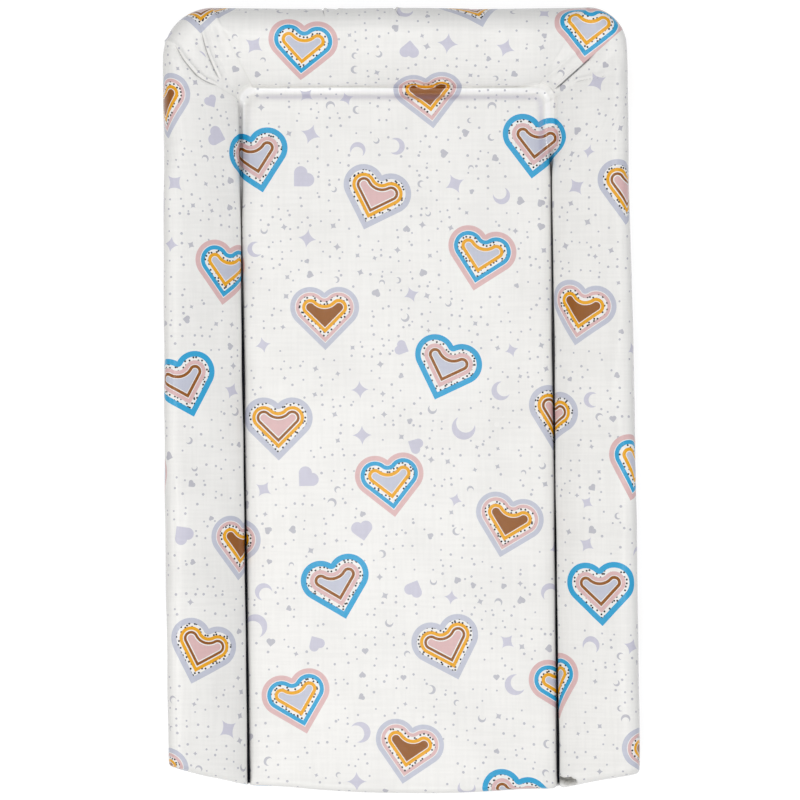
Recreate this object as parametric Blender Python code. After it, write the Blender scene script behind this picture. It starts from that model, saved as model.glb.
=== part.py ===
"""A padded changing mat with raised sides: a flat pad inside a U of three bolsters, one
at the head and one along each side. The mat is open at the foot, where its edge bows out.

On the real mat a printed film goes over four blocks of foam and is welded to a plain back
film: once round the rim and once along each crease between the pad and a bolster. The
surplus film at the two head corners is taken in as tucks.

The mat lies on its back film. The origin is under the middle of the mat, on the floor,
with +Y towards the head, +X to the right of someone who faces the head, and +Z up.
"""

import math

import bmesh
import bpy
from mathutils import Matrix, Vector

# Driving sizes, in metres
MAT_LENGTH = 0.790
MAT_WIDTH = 0.470
BOLSTER_WIDTH = 0.078
BOLSTER_HEIGHT = 0.066
PAD_HEIGHT = 0.026
FOOT_BOW = 0.026
HEAD_CORNER_RADIUS = 0.046
INNER_CORNER_RADIUS = 0.013

# At a sharp corner a sheet is sunk no more than its depth over this
LEAST_LEAN = 0.45

# Films and welds
COVER_THICKNESS = 0.0008
BACK_THICKNESS = 0.0008
CREASE_WELD_THICKNESS = 0.0008
RIM_WELD_THICKNESS = 0.0016
RIM_WELD_WIDTH = 0.005
TUCK_THICKNESS = 0.0010
TUCK_GAP = 0.0005
FIT_GAP = 0.0003

# The crease, a narrow channel in the cover with a groove under it in the back
CREASE_HALF_WIDTH = 0.0014
GROOVE_HALF_WIDTH = 0.0008
GROOVE_FLARE = 0.0004
GROOVE_DEPTH = 0.0070
GROOVE_RUN_IN = 0.014

# Edges
PAD_ROLL_WIDTH = 0.028
FOOT_ROLL_DEPTH = 0.016
POCKET_END_RADIUS = 0.007
RIM_INSET = 0.006
BACK_INSET = 0.0015

# Folds in the cover at the head corners
TUCK_DEPTH = 0.007

# Punched holes that let air out of each pocket
VENT_RADIUS = 0.002
VENT_SIDES = 12
VENT_TURN = math.radians(7)
CUT_OVERRUN = 0.005

# Heights that follow from how the films and welds stack
BACK_TOP = BACK_THICKNESS
FOAM_BOTTOM = BACK_TOP + FIT_GAP
RIM_HEIGHT = BACK_TOP + FIT_GAP + RIM_WELD_THICKNESS + FIT_GAP
CREASE_WELD_BOTTOM = GROOVE_DEPTH + BACK_THICKNESS + FIT_GAP
CREASE_HEIGHT = CREASE_WELD_BOTTOM + CREASE_WELD_THICKNESS + FIT_GAP + COVER_THICKNESS

# Where the creases lie
SIDE_CREASE = MAT_WIDTH / 2 - BOLSTER_WIDTH
HEAD_CREASE = MAT_LENGTH / 2 - BOLSTER_WIDTH

# Across a bolster, from the crease over the crest and down the outer wall:
# shares of its width, and of its height
BOLSTER_SHARES = (
    (0.010, 0.30),
    (0.042, 0.47),
    (0.125, 0.60),
    (0.295, 0.735),
    (0.530, 0.865),
    (0.720, 0.955),
    (0.830, 0.995),
    (0.890, 1.0),
    (0.945, 0.955),
    (0.985, 0.86),
    (1.0, 0.70),
    (0.998, 0.44),
    (0.980, 0.18),
)
WIDEST_SHARE = 0.65
# In from the crease over the pad's rolled edge: shares of the roll's width, and of the
# pad's height
PAD_SHARES = ((0.030, 0.65), (0.130, 0.80), (0.360, 0.91), (1.0, 0.965))
# Up the foot end from the rim: shares of the roll's depth that a section is set back,
# and of its height above the rim that it keeps
FOOT_SHARES = ((0.0, 0.15), (0.015, 0.48), (0.10, 0.78), (0.38, 0.94), (1.0, 1.0))
# Along a side bolster and half the head bolster, up to each one's end
SIDE_RUN_SHARES = (0.25, 0.62, 1.0)
HEAD_RUN_SHARES = (0.40, 0.75, 1.0)
# Round a head corner, as shares of the quarter turn. The middle one is the tuck's line.
TURN_SHARES = (0.20, 0.40, 0.50, 0.60, 0.80, 1.0)
TUCK_SHARE = 0.50
# How deep the fold is at each of those, as shares of its full depth
TUCK_SECTION_SHARES = (0.20, 0.28, 1.0, 0.28, 0.20, 0.0)
# The tuck's fold is deepest between these shares of the bolster's width, and ends at the last
TUCK_RUN_SHARES = (0.12, 0.55, 0.90)
# The piece of film taken in at a corner starts and ends between these shares of the width
TUCK_PIECE_SHARES = (0.03, 0.90)
# How many straight runs half of the foot's bow is drawn with on the rim weld
FOOT_STEPS = 12
# Vents in the side pockets and in the pad's: how far towards the foot, as shares of the
# mat's length
SIDE_VENT_SHARE = 0.03
PAD_VENT_SHARE = 0.12

# The stretches of the U from the foot round to the middle of the head, and the pockets
FOOT, SIDE, TURN, HEAD = "foot", "side", "turn", "head"
STRETCHES = (FOOT, SIDE, TURN, HEAD)
PAD, WELD, BOLSTER = "pad", "weld", "bolster"
POCKETS = (PAD, WELD, BOLSTER)


def corner_radius(out):
    """Plan radius at a head corner of the line that runs round the mat this far outside
    the crease. Inside the crease it shrinks to a square corner at the end of the pad's roll."""
    if out < 0:
        return max(0.0, INNER_CORNER_RADIUS * (1 + out / PAD_ROLL_WIDTH))
    grown = (HEAD_CORNER_RADIUS - INNER_CORNER_RADIUS) * out / BOLSTER_WIDTH
    return INNER_CORNER_RADIUS + grown


def foot_line(x):
    """Y of the bowed foot edge, a circular arc across the whole mat."""
    half = MAT_WIDTH / 2
    radius = (half * half + FOOT_BOW * FOOT_BOW) / (2 * FOOT_BOW)
    return -MAT_LENGTH / 2 + radius - math.sqrt(radius * radius - x * x)


def pocket_rounding(x):
    """How far a pocket's rounded end stands back from the foot line, beside a crease or
    beside the mat's outer edge."""
    back = 0.0
    for edge in (SIDE_CREASE, MAT_WIDTH / 2):
        gap = min(POCKET_END_RADIUS, abs(abs(x) - edge))
        short = POCKET_END_RADIUS - gap
        back += POCKET_END_RADIUS - math.sqrt(POCKET_END_RADIUS**2 - short**2)
    return back


def cover_stations():
    """The sections that the cover is lofted through, from the foot rim to the middle of the
    head: the stretch each is on, its place there, and the share of its height that it keeps."""
    stations = [(FOOT, RIM_INSET, 0.0)]
    stations += [(FOOT, share * FOOT_ROLL_DEPTH, keep) for share, keep in FOOT_SHARES]
    stations += [(SIDE, share, 1.0) for share in SIDE_RUN_SHARES]
    stations += [(TURN, share, 1.0) for share in TURN_SHARES]
    stations += [(HEAD, share, 1.0) for share in HEAD_RUN_SHARES]
    return stations


def plan_point(station, out, across=0.0, reach=None):
    """Where a station crosses the line this far outside the crease, on the left half. Across
    moves it that share of the way in towards the middle of the pad. Reach is the distance
    outside the crease that sets the rounding of the pocket's end, if it isn't the line's own."""
    stretch, place, keep = station
    radius = corner_radius(out)
    left = -(SIDE_CREASE + out)
    head = HEAD_CREASE + out
    x = left * (1 - across)
    rounding = pocket_rounding(x if reach is None else SIDE_CREASE + reach)
    if stretch == FOOT:
        return x, foot_line(x) + place + (rounding if keep > 0 else 0.0)
    if stretch == SIDE:
        start = foot_line(x) + rounding + FOOT_ROLL_DEPTH
        return x, start + place * (head - radius - start)
    if stretch == TURN:
        angle = place * math.pi / 2
        return left + radius * (1 - math.cos(angle)), head - radius * (1 - math.sin(angle))
    return (left + radius) * (1 - place), head


def tuck_drop(station, out):
    """How far the folds at a head corner lower the cover."""
    stretch, place, _ = station
    if stretch != TURN or out <= CREASE_HALF_WIDTH:
        return 0.0
    start, full, end = (share * BOLSTER_WIDTH for share in TUCK_RUN_SHARES)
    window = min(1.0, out / start) * min(1.0, max(0.0, (end - out) / (end - full)))
    return TUCK_DEPTH * window * TUCK_SECTION_SHARES[TURN_SHARES.index(place)]


def cover_rings():
    """Lines that run round the mat, from the pad out to the rim: distance outside the
    crease, and height."""
    roll = PAD_ROLL_WIDTH - CREASE_HALF_WIDTH
    width = BOLSTER_WIDTH - CREASE_HALF_WIDTH
    rings = [
        (-CREASE_HALF_WIDTH - share * roll, rise * PAD_HEIGHT)
        for share, rise in reversed(PAD_SHARES)
    ]
    rings += [(-CREASE_HALF_WIDTH, CREASE_HEIGHT), (CREASE_HALF_WIDTH, CREASE_HEIGHT)]
    rings += [
        (CREASE_HALF_WIDTH + share * width, rise * BOLSTER_HEIGHT)
        for share, rise in BOLSTER_SHARES
    ]
    return rings + [(BOLSTER_WIDTH - RIM_INSET, RIM_HEIGHT)]


def on_outer_wall(ring):
    """Whether a line runs below the bolster's widest one, on its outer wall."""
    out, height = ring
    return out > BOLSTER_WIDTH / 2 and height < WIDEST_SHARE * BOLSTER_HEIGHT


def crown(station, across):
    """Height of the pad inside its rolled edge, a share of the way in to its middle. It
    falls back to the edge's height at the head end too."""
    edge = PAD_SHARES[-1][1]
    along = 1 - station[1] ** 4 if station[0] == SIDE else 1.0
    return PAD_HEIGHT * (edge + (1 - edge) * along * (1 - (1 - across) ** 2))


def settled(height, station):
    """A height lowered towards the rim where the foot end rolls down."""
    return RIM_HEIGHT + (height - RIM_HEIGHT) * station[2]


def half_sheet(rings, stations, place_of, pocket_of):
    """Faces of the left half of a sheet, each as its corner points and its pocket. Rings
    and stations make the U, and the innermost ring is filled across to the middle."""
    faces = []
    for first, second in zip(stations, stations[1:]):
        for inner, outer in zip(rings, rings[1:]):
            corners = ((first, outer), (first, inner), (second, inner), (second, outer))
            points = [place_of(station, ring, 0.0) for station, ring in corners]
            faces.append((points, pocket_of(first, second, inner, outer)))

    rows = [station for station in stations if station[0] in (FOOT, SIDE)]
    columns = [0.0] + [share for stretch, share, _ in stations if stretch == HEAD]
    for first, second in zip(rows, rows[1:]):
        for left, right in zip(columns, columns[1:]):
            corners = ((first, left), (first, right), (second, right), (second, left))
            points = [place_of(station, rings[0], across) for station, across in corners]
            faces.append((points, (PAD, FOOT)))
    return faces


def whole_sheet(half):
    """A bmesh of both halves, with points that meet made one, and each face's pocket and
    side kept in layers. On the right half the stretch is negative."""
    bm = bmesh.new()
    pocket_layer = bm.faces.layers.int.new("pocket")
    stretch_layer = bm.faces.layers.int.new("stretch")
    found = {}

    def vertex(point):
        key = tuple(round(value / (FIT_GAP / 30)) for value in point)
        if key not in found:
            found[key] = bm.verts.new(point)
        return found[key]

    for side in (1, -1):
        for points, (pocket, stretch) in half:
            loop = [vertex(Vector((p.x * side, p.y, p.z))) for p in points]
            loop = [v for i, v in enumerate(loop) if v != loop[i - 1]]
            if len(set(loop)) < 3:
                continue
            face = bm.faces.new(loop if side > 0 else loop[::-1])
            face[pocket_layer] = POCKETS.index(pocket)
            face[stretch_layer] = STRETCHES.index(stretch) * side
    bmesh.ops.triangulate(bm, faces=bm.faces)
    bm.normal_update()
    return bm


def sink(bm, depth):
    """Moves each point in under its faces, so that every face sinks by about the same depth."""
    bm.normal_update()
    moves = []
    for vert in bm.verts:
        lean = min(vert.normal.dot(face.normal) for face in vert.link_faces)
        moves.append(vert.normal * (-depth / max(lean, LEAST_LEAN)))
    for vert, move in zip(bm.verts, moves):
        vert.co += move


def closed_between(bm, under):
    """Closes a sheet with a second one under it, whose points have the same order."""
    bm.verts.ensure_lookup_table()
    rim = [edge for edge in bm.edges if edge.is_boundary]
    below = [bm.verts.new(point) for point in under]
    bm.verts.ensure_lookup_table()
    faces = list(bm.faces)
    index = {vert: i for i, vert in enumerate(bm.verts)}
    for edge in rim:
        face = edge.link_faces[0]
        corners = [loop.vert for loop in face.loops]
        first, second = edge.verts
        if corners[(corners.index(first) + 1) % len(corners)] != second:
            first, second = second, first
        bm.faces.new((second, first, below[index[first]], below[index[second]]))
    for face in faces:
        bm.faces.new([below[index[vert]] for vert in reversed(face.verts)])
    return bm


def filled_down(bm, floor):
    """Closes a sheet with straight walls down from its low edges, upright caps under its
    high ends, and a flat bottom."""
    rim = [edge for edge in bm.edges if edge.is_boundary]
    low = [edge for edge in rim if all(vert.co.z < CREASE_HEIGHT for vert in edge.verts)]
    high = set(rim) - set(low)
    tops = {vert for edge in low for vert in edge.verts}
    below = {vert: bm.verts.new((vert.co.x, vert.co.y, floor)) for vert in tops}
    for edge in low:
        first, second = edge.verts
        bm.faces.new((first, second, below[second], below[first]))
    while high:
        chain = high_run(high, tops)
        bm.faces.new([*chain, below[chain[-1]], below[chain[0]]])
    foot = set(below.values())
    bottom = [edge for edge in bm.edges if foot.issuperset(edge.verts)]
    bmesh.ops.contextual_create(bm, geom=bottom)
    bmesh.ops.recalc_face_normals(bm, faces=bm.faces)
    return bm


def high_run(high, tops):
    """Takes one unbroken run of edges out of the high ones, from one low end to the other,
    and returns its points in order."""
    at = next(vert for edge in high for vert in edge.verts if vert in tops)
    chain = [at]
    while len(chain) == 1 or at not in tops:
        edge = next(edge for edge in at.link_edges if edge in high)
        high.remove(edge)
        at = edge.other_vert(at)
        chain.append(at)
    return chain


def surface(name, colour, roughness):
    """A plain material."""
    material = bpy.data.materials.new(name)
    material.use_nodes = True
    shader = material.node_tree.nodes["Principled BSDF"]
    shader.inputs["Base Color"].default_value = (*colour, 1.0)
    shader.inputs["Roughness"].default_value = roughness
    shader.inputs["Metallic"].default_value = 0.0
    material.diffuse_color = (*colour, 1.0)
    return material


def add_object(name, bm, material):
    """One named piece from a finished bmesh, shaded smooth up to folds."""
    mesh = bpy.data.meshes.new(name)
    bm.to_mesh(mesh)
    bm.free()
    mesh.shade_smooth()
    mesh.set_sharp_from_angle(angle=math.radians(50))
    mesh.materials.append(material)
    piece = bpy.data.objects.new(name, mesh)
    bpy.context.scene.collection.objects.link(piece)
    return piece


def cover_place(station, ring, across):
    """A point of the cover's outer face. The rim keeps its inset all round, so the rolled
    edges of the side and of the foot meet in one point of the rim."""
    out, height = ring
    if across:
        height = crown(station, across)
    x, y = plan_point(station, out, across, BOLSTER_WIDTH if on_outer_wall(ring) else None)
    if station[2] == 0:
        x = max(x, RIM_INSET - MAT_WIDTH / 2)
        y = foot_line(x) + RIM_INSET
    return Vector((x, y, settled(height, station) - tuck_drop(station, out)))


def cover_pocket(first, second, inner, outer):
    """Which pocket a face of the cover closes, and on what stretch of the U."""
    if outer[0] < 0:
        return PAD, second[0]
    if inner[0] < 0:
        return WELD, second[0]
    return BOLSTER, bolster_stretch(first, second)


def bolster_stretch(first, second):
    """A bolster face's stretch: the side bolster up to the tuck, the tuck, or the head."""
    if TUCK_SHARE in (first[1], second[1]) and second[0] == TURN:
        return TURN
    if second[0] in (FOOT, SIDE) or (second[0] == TURN and second[1] < TUCK_SHARE):
        return SIDE
    return HEAD


def cover_sheet():
    """The cover's outer face as an open sheet."""
    half = half_sheet(cover_rings(), cover_stations(), cover_place, cover_pocket)
    return whole_sheet(half)


def top_cover(material):
    """The printed film, one sheet over the pad and the three bolsters."""
    bm = cover_sheet()
    inner = cover_sheet()
    sink(inner, COVER_THICKNESS)
    inner_points = [vert.co.copy() for vert in inner.verts]
    inner.free()
    return add_object("top_cover", closed_between(bm, inner_points), material)


def foam_block(name, keep, material):
    """A block of foam that fills one pocket, a fit gap inside the cover and above the back.
    Keep says which faces of the cover lie over it."""
    bm = cover_sheet()
    sink(bm, COVER_THICKNESS + FIT_GAP)
    pocket = bm.faces.layers.int["pocket"]
    stretch = bm.faces.layers.int["stretch"]
    others = [face for face in bm.faces if not keep(face[pocket], face[stretch])]
    bmesh.ops.delete(bm, geom=others, context="FACES")
    return add_object(name, filled_down(bm, FOAM_BOTTOM), material)


def foam_blocks(material):
    """The pad and the three bolsters, which stop short of the tucks at the head corners."""
    pad, bolster = POCKETS.index(PAD), POCKETS.index(BOLSTER)
    left, head = STRETCHES.index(SIDE), STRETCHES.index(HEAD)
    blocks = {
        "pad_foam": lambda pocket, _: pocket == pad,
        "left_bolster_foam": lambda pocket, stretch: (pocket, stretch) == (bolster, left),
        "right_bolster_foam": lambda pocket, stretch: (pocket, stretch) == (bolster, -left),
        "head_bolster_foam": lambda pocket, stretch: (pocket, abs(stretch)) == (bolster, head),
    }
    for name, keep in blocks.items():
        foam_block(name, keep, material)


def back_stations():
    """The sections of the back film. The groove rises over its run-in at the foot."""
    start = RIM_INSET + FOOT_ROLL_DEPTH
    stations = [(FOOT, BACK_INSET, 0.0), (FOOT, start, 0.0), (FOOT, start + GROOVE_RUN_IN, 1.0)]
    stations += [(SIDE, 1.0, 1.0)]
    stations += [(TURN, share, 1.0) for share in TURN_SHARES]
    return stations + [(HEAD, share, 1.0) for share in HEAD_RUN_SHARES]


def back_place(station, ring, across):
    """A point of the back film's lower face: flat, but for the groove under each crease."""
    x, y = plan_point(station, ring[0], across)
    return Vector((x, y, ring[1] * station[2]))


def back_sheet(lift):
    """One face of the back film as an open sheet. The upper one lies the film's thickness
    above the lower, and outside it along the groove."""
    groove = GROOVE_HALF_WIDTH + lift
    flare = groove + GROOVE_FLARE
    rings = [(-PAD_ROLL_WIDTH, 0.0), (-flare, 0.0), (-groove, GROOVE_DEPTH)]
    rings += [(groove, GROOVE_DEPTH), (flare, 0.0), (BOLSTER_WIDTH - BACK_INSET, 0.0)]
    half = half_sheet(rings, back_stations(), back_place, lambda *_: (PAD, SIDE))
    bm = whole_sheet(half)
    bmesh.ops.translate(bm, verts=bm.verts, vec=(0, 0, lift))
    bmesh.ops.reverse_faces(bm, faces=bm.faces)
    return bm


def vent_cutter(name, x, y):
    """A short upright cylinder that punches one vent through the back film."""
    bm = bmesh.new()
    bmesh.ops.create_cone(
        bm,
        cap_ends=True,
        segments=VENT_SIDES,
        radius1=VENT_RADIUS,
        radius2=VENT_RADIUS,
        depth=2 * CUT_OVERRUN,
        matrix=Matrix.Translation((x, y, 0)) @ Matrix.Rotation(VENT_TURN, 4, "Z"),
    )
    mesh = bpy.data.meshes.new(name)
    bm.to_mesh(mesh)
    bm.free()
    cutter = bpy.data.objects.new(name, mesh)
    cutter.hide_render = True
    cutter.display_type = "WIRE"
    bpy.context.scene.collection.objects.link(cutter)
    return cutter


def back_cover(material):
    """The plain film that the mat lies on, grooved under the creases, with a punched vent
    for each pocket."""
    bm = back_sheet(0)
    upper = back_sheet(BACK_THICKNESS)
    upper_points = [vert.co.copy() for vert in upper.verts]
    upper.free()
    piece = add_object("back_cover", closed_between(bm, upper_points), material)

    middle_of_bolster = SIDE_CREASE + BOLSTER_WIDTH / 2
    vents = {
        "pad_vent": (PAD_ROLL_WIDTH, -MAT_LENGTH * PAD_VENT_SHARE),
        "left_vent": (-middle_of_bolster, -MAT_LENGTH * SIDE_VENT_SHARE),
        "right_vent": (middle_of_bolster, -MAT_LENGTH * SIDE_VENT_SHARE),
        "head_vent": (PAD_ROLL_WIDTH, HEAD_CREASE + BOLSTER_WIDTH / 2),
    }
    for name, (x, y) in vents.items():
        cut = piece.modifiers.new(name, "BOOLEAN")
        cut.operation = "DIFFERENCE"
        cut.object = vent_cutter(name, x, y)
    return piece


def outline(inset):
    """The mat's plan outline this far in from its edge, as a closed loop of points."""
    half = MAT_WIDTH / 2 - inset
    head = MAT_LENGTH / 2 - inset
    radius = HEAD_CORNER_RADIUS - inset
    columns = [-half * step / FOOT_STEPS for step in range(FOOT_STEPS + 1)]
    left = [(x, foot_line(x) + inset) for x in columns]
    for share in (0.0, *TURN_SHARES):
        angle = share * math.pi / 2
        x = -half + radius * (1 - math.cos(angle))
        left.append((x, head - radius * (1 - math.sin(angle))))
    right = [(-x, y) for x, y in reversed(left) if x < 0]
    return left + right


def ring_solid(name, loops, material):
    """A closed ring whose section has one corner on each loop."""
    bm = bmesh.new()
    rows = [[bm.verts.new(point) for point in loop] for loop in loops]
    for row, following in zip(rows, rows[1:] + rows[:1]):
        for i in range(len(row)):
            bm.faces.new((row[i - 1], row[i], following[i], following[i - 1]))
    bmesh.ops.recalc_face_normals(bm, faces=bm.faces)
    return add_object(name, bm, material)


def rim_weld(material):
    """The fused lip that joins the cover's rim to the back film all round the mat."""
    outer = BACK_INSET
    inner = BACK_INSET + RIM_WELD_WIDTH
    bottom = BACK_TOP + FIT_GAP
    top = bottom + RIM_WELD_THICKNESS
    corners = ((outer, bottom), (inner, bottom), (inner, top), (outer, top))
    loops = [[(x, y, z) for x, y in outline(inset)] for inset, z in corners]
    return ring_solid("rim_weld", loops, material)


def weld_strip(name, lefts, rights, material):
    """A fused strip along a crease, between the two lines of plan points."""
    bm = bmesh.new()
    top = CREASE_WELD_BOTTOM + CREASE_WELD_THICKNESS
    sides = [
        [bm.verts.new((x, y, z)) for x, y in line]
        for line, z in (
            (lefts, CREASE_WELD_BOTTOM),
            (lefts, top),
            (rights, top),
            (rights, CREASE_WELD_BOTTOM),
        )
    ]
    for line, following in zip(sides, sides[1:] + sides[:1]):
        for i in range(len(line) - 1):
            bm.faces.new((line[i], line[i + 1], following[i + 1], following[i]))
    for end in (0, -1):
        bm.faces.new([line[end] for line in sides])
    bmesh.ops.recalc_face_normals(bm, faces=bm.faces)
    return add_object(name, bm, material)


def crease_welds(material):
    """The three welds that hold the cover down along the creases. The head one turns both
    inner corners, and the side ones end a fit gap short of it."""
    half = CREASE_HALF_WIDTH
    start = (FOOT, RIM_INSET + FOOT_ROLL_DEPTH + GROOVE_RUN_IN, 1.0)
    meet = HEAD_CREASE - INNER_CORNER_RADIUS
    for name, side in (("left_crease_weld", 1), ("right_crease_weld", -1)):
        lines = []
        for out in (half, -half):
            x, y = plan_point(start, out)
            lines.append([(x * side, y), (x * side, meet - half - FIT_GAP)])
        weld_strip(name, *lines, material)
    lines = []
    for out in (half, -half):
        turn = [plan_point((TURN, share, 1.0), out) for share in (0.0, *TURN_SHARES)]
        turn[0] = (turn[0][0], meet - half)
        lines.append(turn + [(-x, y) for x, y in reversed(turn)])
    weld_strip("head_crease_weld", *lines, material)


def tuck_line(side):
    """The points on the cover's inner face that lie along a head corner's mitre, from the
    crease out to where the fold ends."""
    outer = cover_sheet()
    inner = cover_sheet()
    sink(inner, COVER_THICKNESS)
    outer.verts.ensure_lookup_table()
    inner.verts.ensure_lookup_table()
    line = []
    for ring in cover_rings():
        share = ring[0] / BOLSTER_WIDTH
        if TUCK_PIECE_SHARES[0] < share < TUCK_PIECE_SHARES[1]:
            x, y = plan_point((TURN, TUCK_SHARE, 1.0), ring[0])
            spot = Vector((x * side, y))
            nearest = min(outer.verts, key=lambda vert: (vert.co.xy - spot).length)
            line.append(inner.verts[nearest.index].co.copy())
    outer.free()
    inner.free()
    return line


def corner_tuck(name, side, material):
    """The doubled film that a corner's mitre takes in. It stands between the ends of two
    bolsters, from under the cover's fold down to the back."""
    line = tuck_line(side)
    bm = bmesh.new()
    half = Vector((side, 1.0, 0.0)).normalized() * (TUCK_THICKNESS / 2)
    faces = []
    for shift in (half, -half):
        top = [bm.verts.new((p.x + shift.x, p.y + shift.y, p.z - TUCK_GAP)) for p in line]
        ends = (line[-1], line[0])
        foot = [bm.verts.new((p.x + shift.x, p.y + shift.y, FOAM_BOTTOM)) for p in ends]
        faces.append(top + foot)
    for loop in faces:
        bm.faces.new(loop)
    for i in range(len(faces[0])):
        bm.faces.new((faces[0][i - 1], faces[0][i], faces[1][i], faces[1][i - 1]))
    bmesh.ops.recalc_face_normals(bm, faces=bm.faces)
    return add_object(name, bm, material)


def main():
    for leftover in list(bpy.data.objects):
        bpy.data.objects.remove(leftover)
    printed = surface("printed_film", (0.90, 0.89, 0.87), 0.35)
    plain = surface("plain_film", (0.86, 0.86, 0.85), 0.40)
    fused = surface("fused_film", (0.80, 0.80, 0.79), 0.30)
    foam = surface("foam", (0.86, 0.83, 0.70), 0.95)
    top_cover(printed)
    back_cover(plain)
    foam_blocks(foam)
    rim_weld(fused)
    crease_welds(fused)
    corner_tuck("left_corner_tuck", 1, fused)
    corner_tuck("right_corner_tuck", -1, fused)


main()
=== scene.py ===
# %% [markdown]
# A padded changing mat
#
# The mat is a flat pad inside a U of three soft bolsters. A printed, wipe-clean film goes
# over four blocks of foam and is welded to a plain back film along the creases and round
# the rim. This script dresses the CAD model: it keeps its sizes and its places, builds the
# fine surface of each piece over them, and gives every piece its finish.

# %% Load the frame
import math

import bmesh
import bpy
import numpy as np
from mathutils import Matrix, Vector
from mathutils.bvhtree import BVHTree


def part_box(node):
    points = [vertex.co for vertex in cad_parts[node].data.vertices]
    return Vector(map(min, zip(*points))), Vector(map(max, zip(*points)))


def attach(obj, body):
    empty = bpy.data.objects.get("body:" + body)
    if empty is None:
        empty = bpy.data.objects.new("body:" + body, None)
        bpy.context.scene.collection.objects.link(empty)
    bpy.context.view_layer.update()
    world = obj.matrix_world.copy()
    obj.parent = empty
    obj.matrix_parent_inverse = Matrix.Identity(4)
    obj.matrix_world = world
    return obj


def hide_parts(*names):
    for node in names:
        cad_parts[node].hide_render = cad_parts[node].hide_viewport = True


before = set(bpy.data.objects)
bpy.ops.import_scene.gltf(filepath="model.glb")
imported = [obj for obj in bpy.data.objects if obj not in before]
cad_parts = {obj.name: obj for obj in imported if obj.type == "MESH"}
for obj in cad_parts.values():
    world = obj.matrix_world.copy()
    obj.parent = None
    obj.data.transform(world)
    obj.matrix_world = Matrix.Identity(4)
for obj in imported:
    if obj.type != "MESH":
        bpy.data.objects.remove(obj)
scene = bpy.context.scene
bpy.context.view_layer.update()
print("nodes:", ", ".join(sorted(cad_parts)))

# %% [markdown]
# The sizes come first. The overall ones are read from the CAD boxes, so the fine surface
# always fits the solids. The others repeat the CAD model's own sizes, in metres.

# %% Sizes of the mat
MM = 0.001
cover_low, cover_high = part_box("top_cover")
HALF_WIDTH = cover_high.x
HALF_LENGTH = cover_high.y
BOLSTER_WIDTH = 78 * MM
SIDE_CREASE = HALF_WIDTH - BOLSTER_WIDTH
HEAD_CREASE = HALF_LENGTH - BOLSTER_WIDTH
PAD_ROLL = 28 * MM
FOOT_BOW = 26 * MM
FOOT_ROLL = 16 * MM
INNER_CORNER_RADIUS = 13 * MM
HEAD_CORNER_RADIUS = {1: 50 * MM, -1: 39 * MM}
RIM_INSET = 6 * MM
RIM_HEIGHT = cover_low.z
print(f"mat {2 * HALF_WIDTH:.3f} by {2 * HALF_LENGTH:.3f}, {cover_high.z:.3f} high")

# %% [markdown]
# The photograph looks straight down on the mat, so one scale turns its pixels into places
# on the mat. The mat lies a little askew: its long sides lean to the right towards the
# foot while its head edge stays level. Towards the foot the right side hangs a little
# lower, its crease is drawn in, and the foot edge sags where the creases end. The mat is
# built straight and laid like this at the end.

# %% From the photograph to the mat
PIXEL = 1.003 * MM
PHOTO_CENTRE = (399.3, 401.6)
LEAN = 0.0135
RIGHT_FOOT_DROP = 4.6 * MM
RIGHT_CREASE_DRAW = 1.9 * MM
FOOT_SAG = 3.3 * MM
LEFT_CORNER_LIFT = 3.0 * MM


def limited(value):
    """A value held between 0 and 1."""
    return np.clip(value, 0, 1)


def hill(away, width):
    """A smooth hill: 1 where away is 0, and a little over a third of that at its width."""
    return np.exp(-((away / width) ** 2))


def toward_foot(y):
    """From 0 at the head edge to 1 at the foot edge."""
    return limited(0.5 - y / (2 * HALF_LENGTH))


def right_drop(x, y):
    """How much lower the right side lies towards the foot."""
    return RIGHT_FOOT_DROP * limited(x / HALF_WIDTH) * toward_foot(y)


def foot_sag(x, y):
    """How far the foot edge sags by the creases, less what the left corner is lifted."""
    sag = FOOT_SAG * hill(np.abs(x) - SIDE_CREASE, 25 * MM)
    lift = LEFT_CORNER_LIFT * limited((-x - HALF_WIDTH + 35 * MM) / (35 * MM))
    return (sag - lift) * limited((-y - HALF_LENGTH + 90 * MM) / (60 * MM))


def on_mat(px, py):
    """A place on the straight mat, from a pixel of the photograph."""
    y = (PHOTO_CENTRE[1] - py) * PIXEL
    x = (px - PHOTO_CENTRE[0]) * PIXEL + LEAN * y
    return x, y + right_drop(x, y)


def as_laid(points):
    """Points of the straight mat, moved to where they lie in the photograph."""
    points = np.array(points, float)
    x, y = points[..., 0].copy(), points[..., 1].copy()
    drawn = np.interp(x, (0, SIDE_CREASE, HALF_WIDTH), (0, RIGHT_CREASE_DRAW, 0))
    points[..., 0] = x - drawn * toward_foot(y) ** 0.7 - LEAN * y
    points[..., 1] = y - right_drop(x, y) - foot_sag(x, y)
    return points


print("upper right inner corner at", [round(float(v), 3) for v in on_mat(550, 87)])

# %% [markdown]
# A section across the mat shows what the film does. It runs level over the pad, rolls down
# into the crease where it is welded to the back, climbs the bolster's inner wall, slopes up
# to a crest near the outer edge and rolls under to the rim. Where the film wasn't pulled
# down hard, it bridges the crease in a shallow cove. Both sections have the same number of
# points, so any mixture of them is a section too. A smooth curve through the points gives
# the lines that run round the mat. The film could also be sculpted, or blown up by a
# simulation, but drawn sections keep the creases where the photograph has them.

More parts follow.
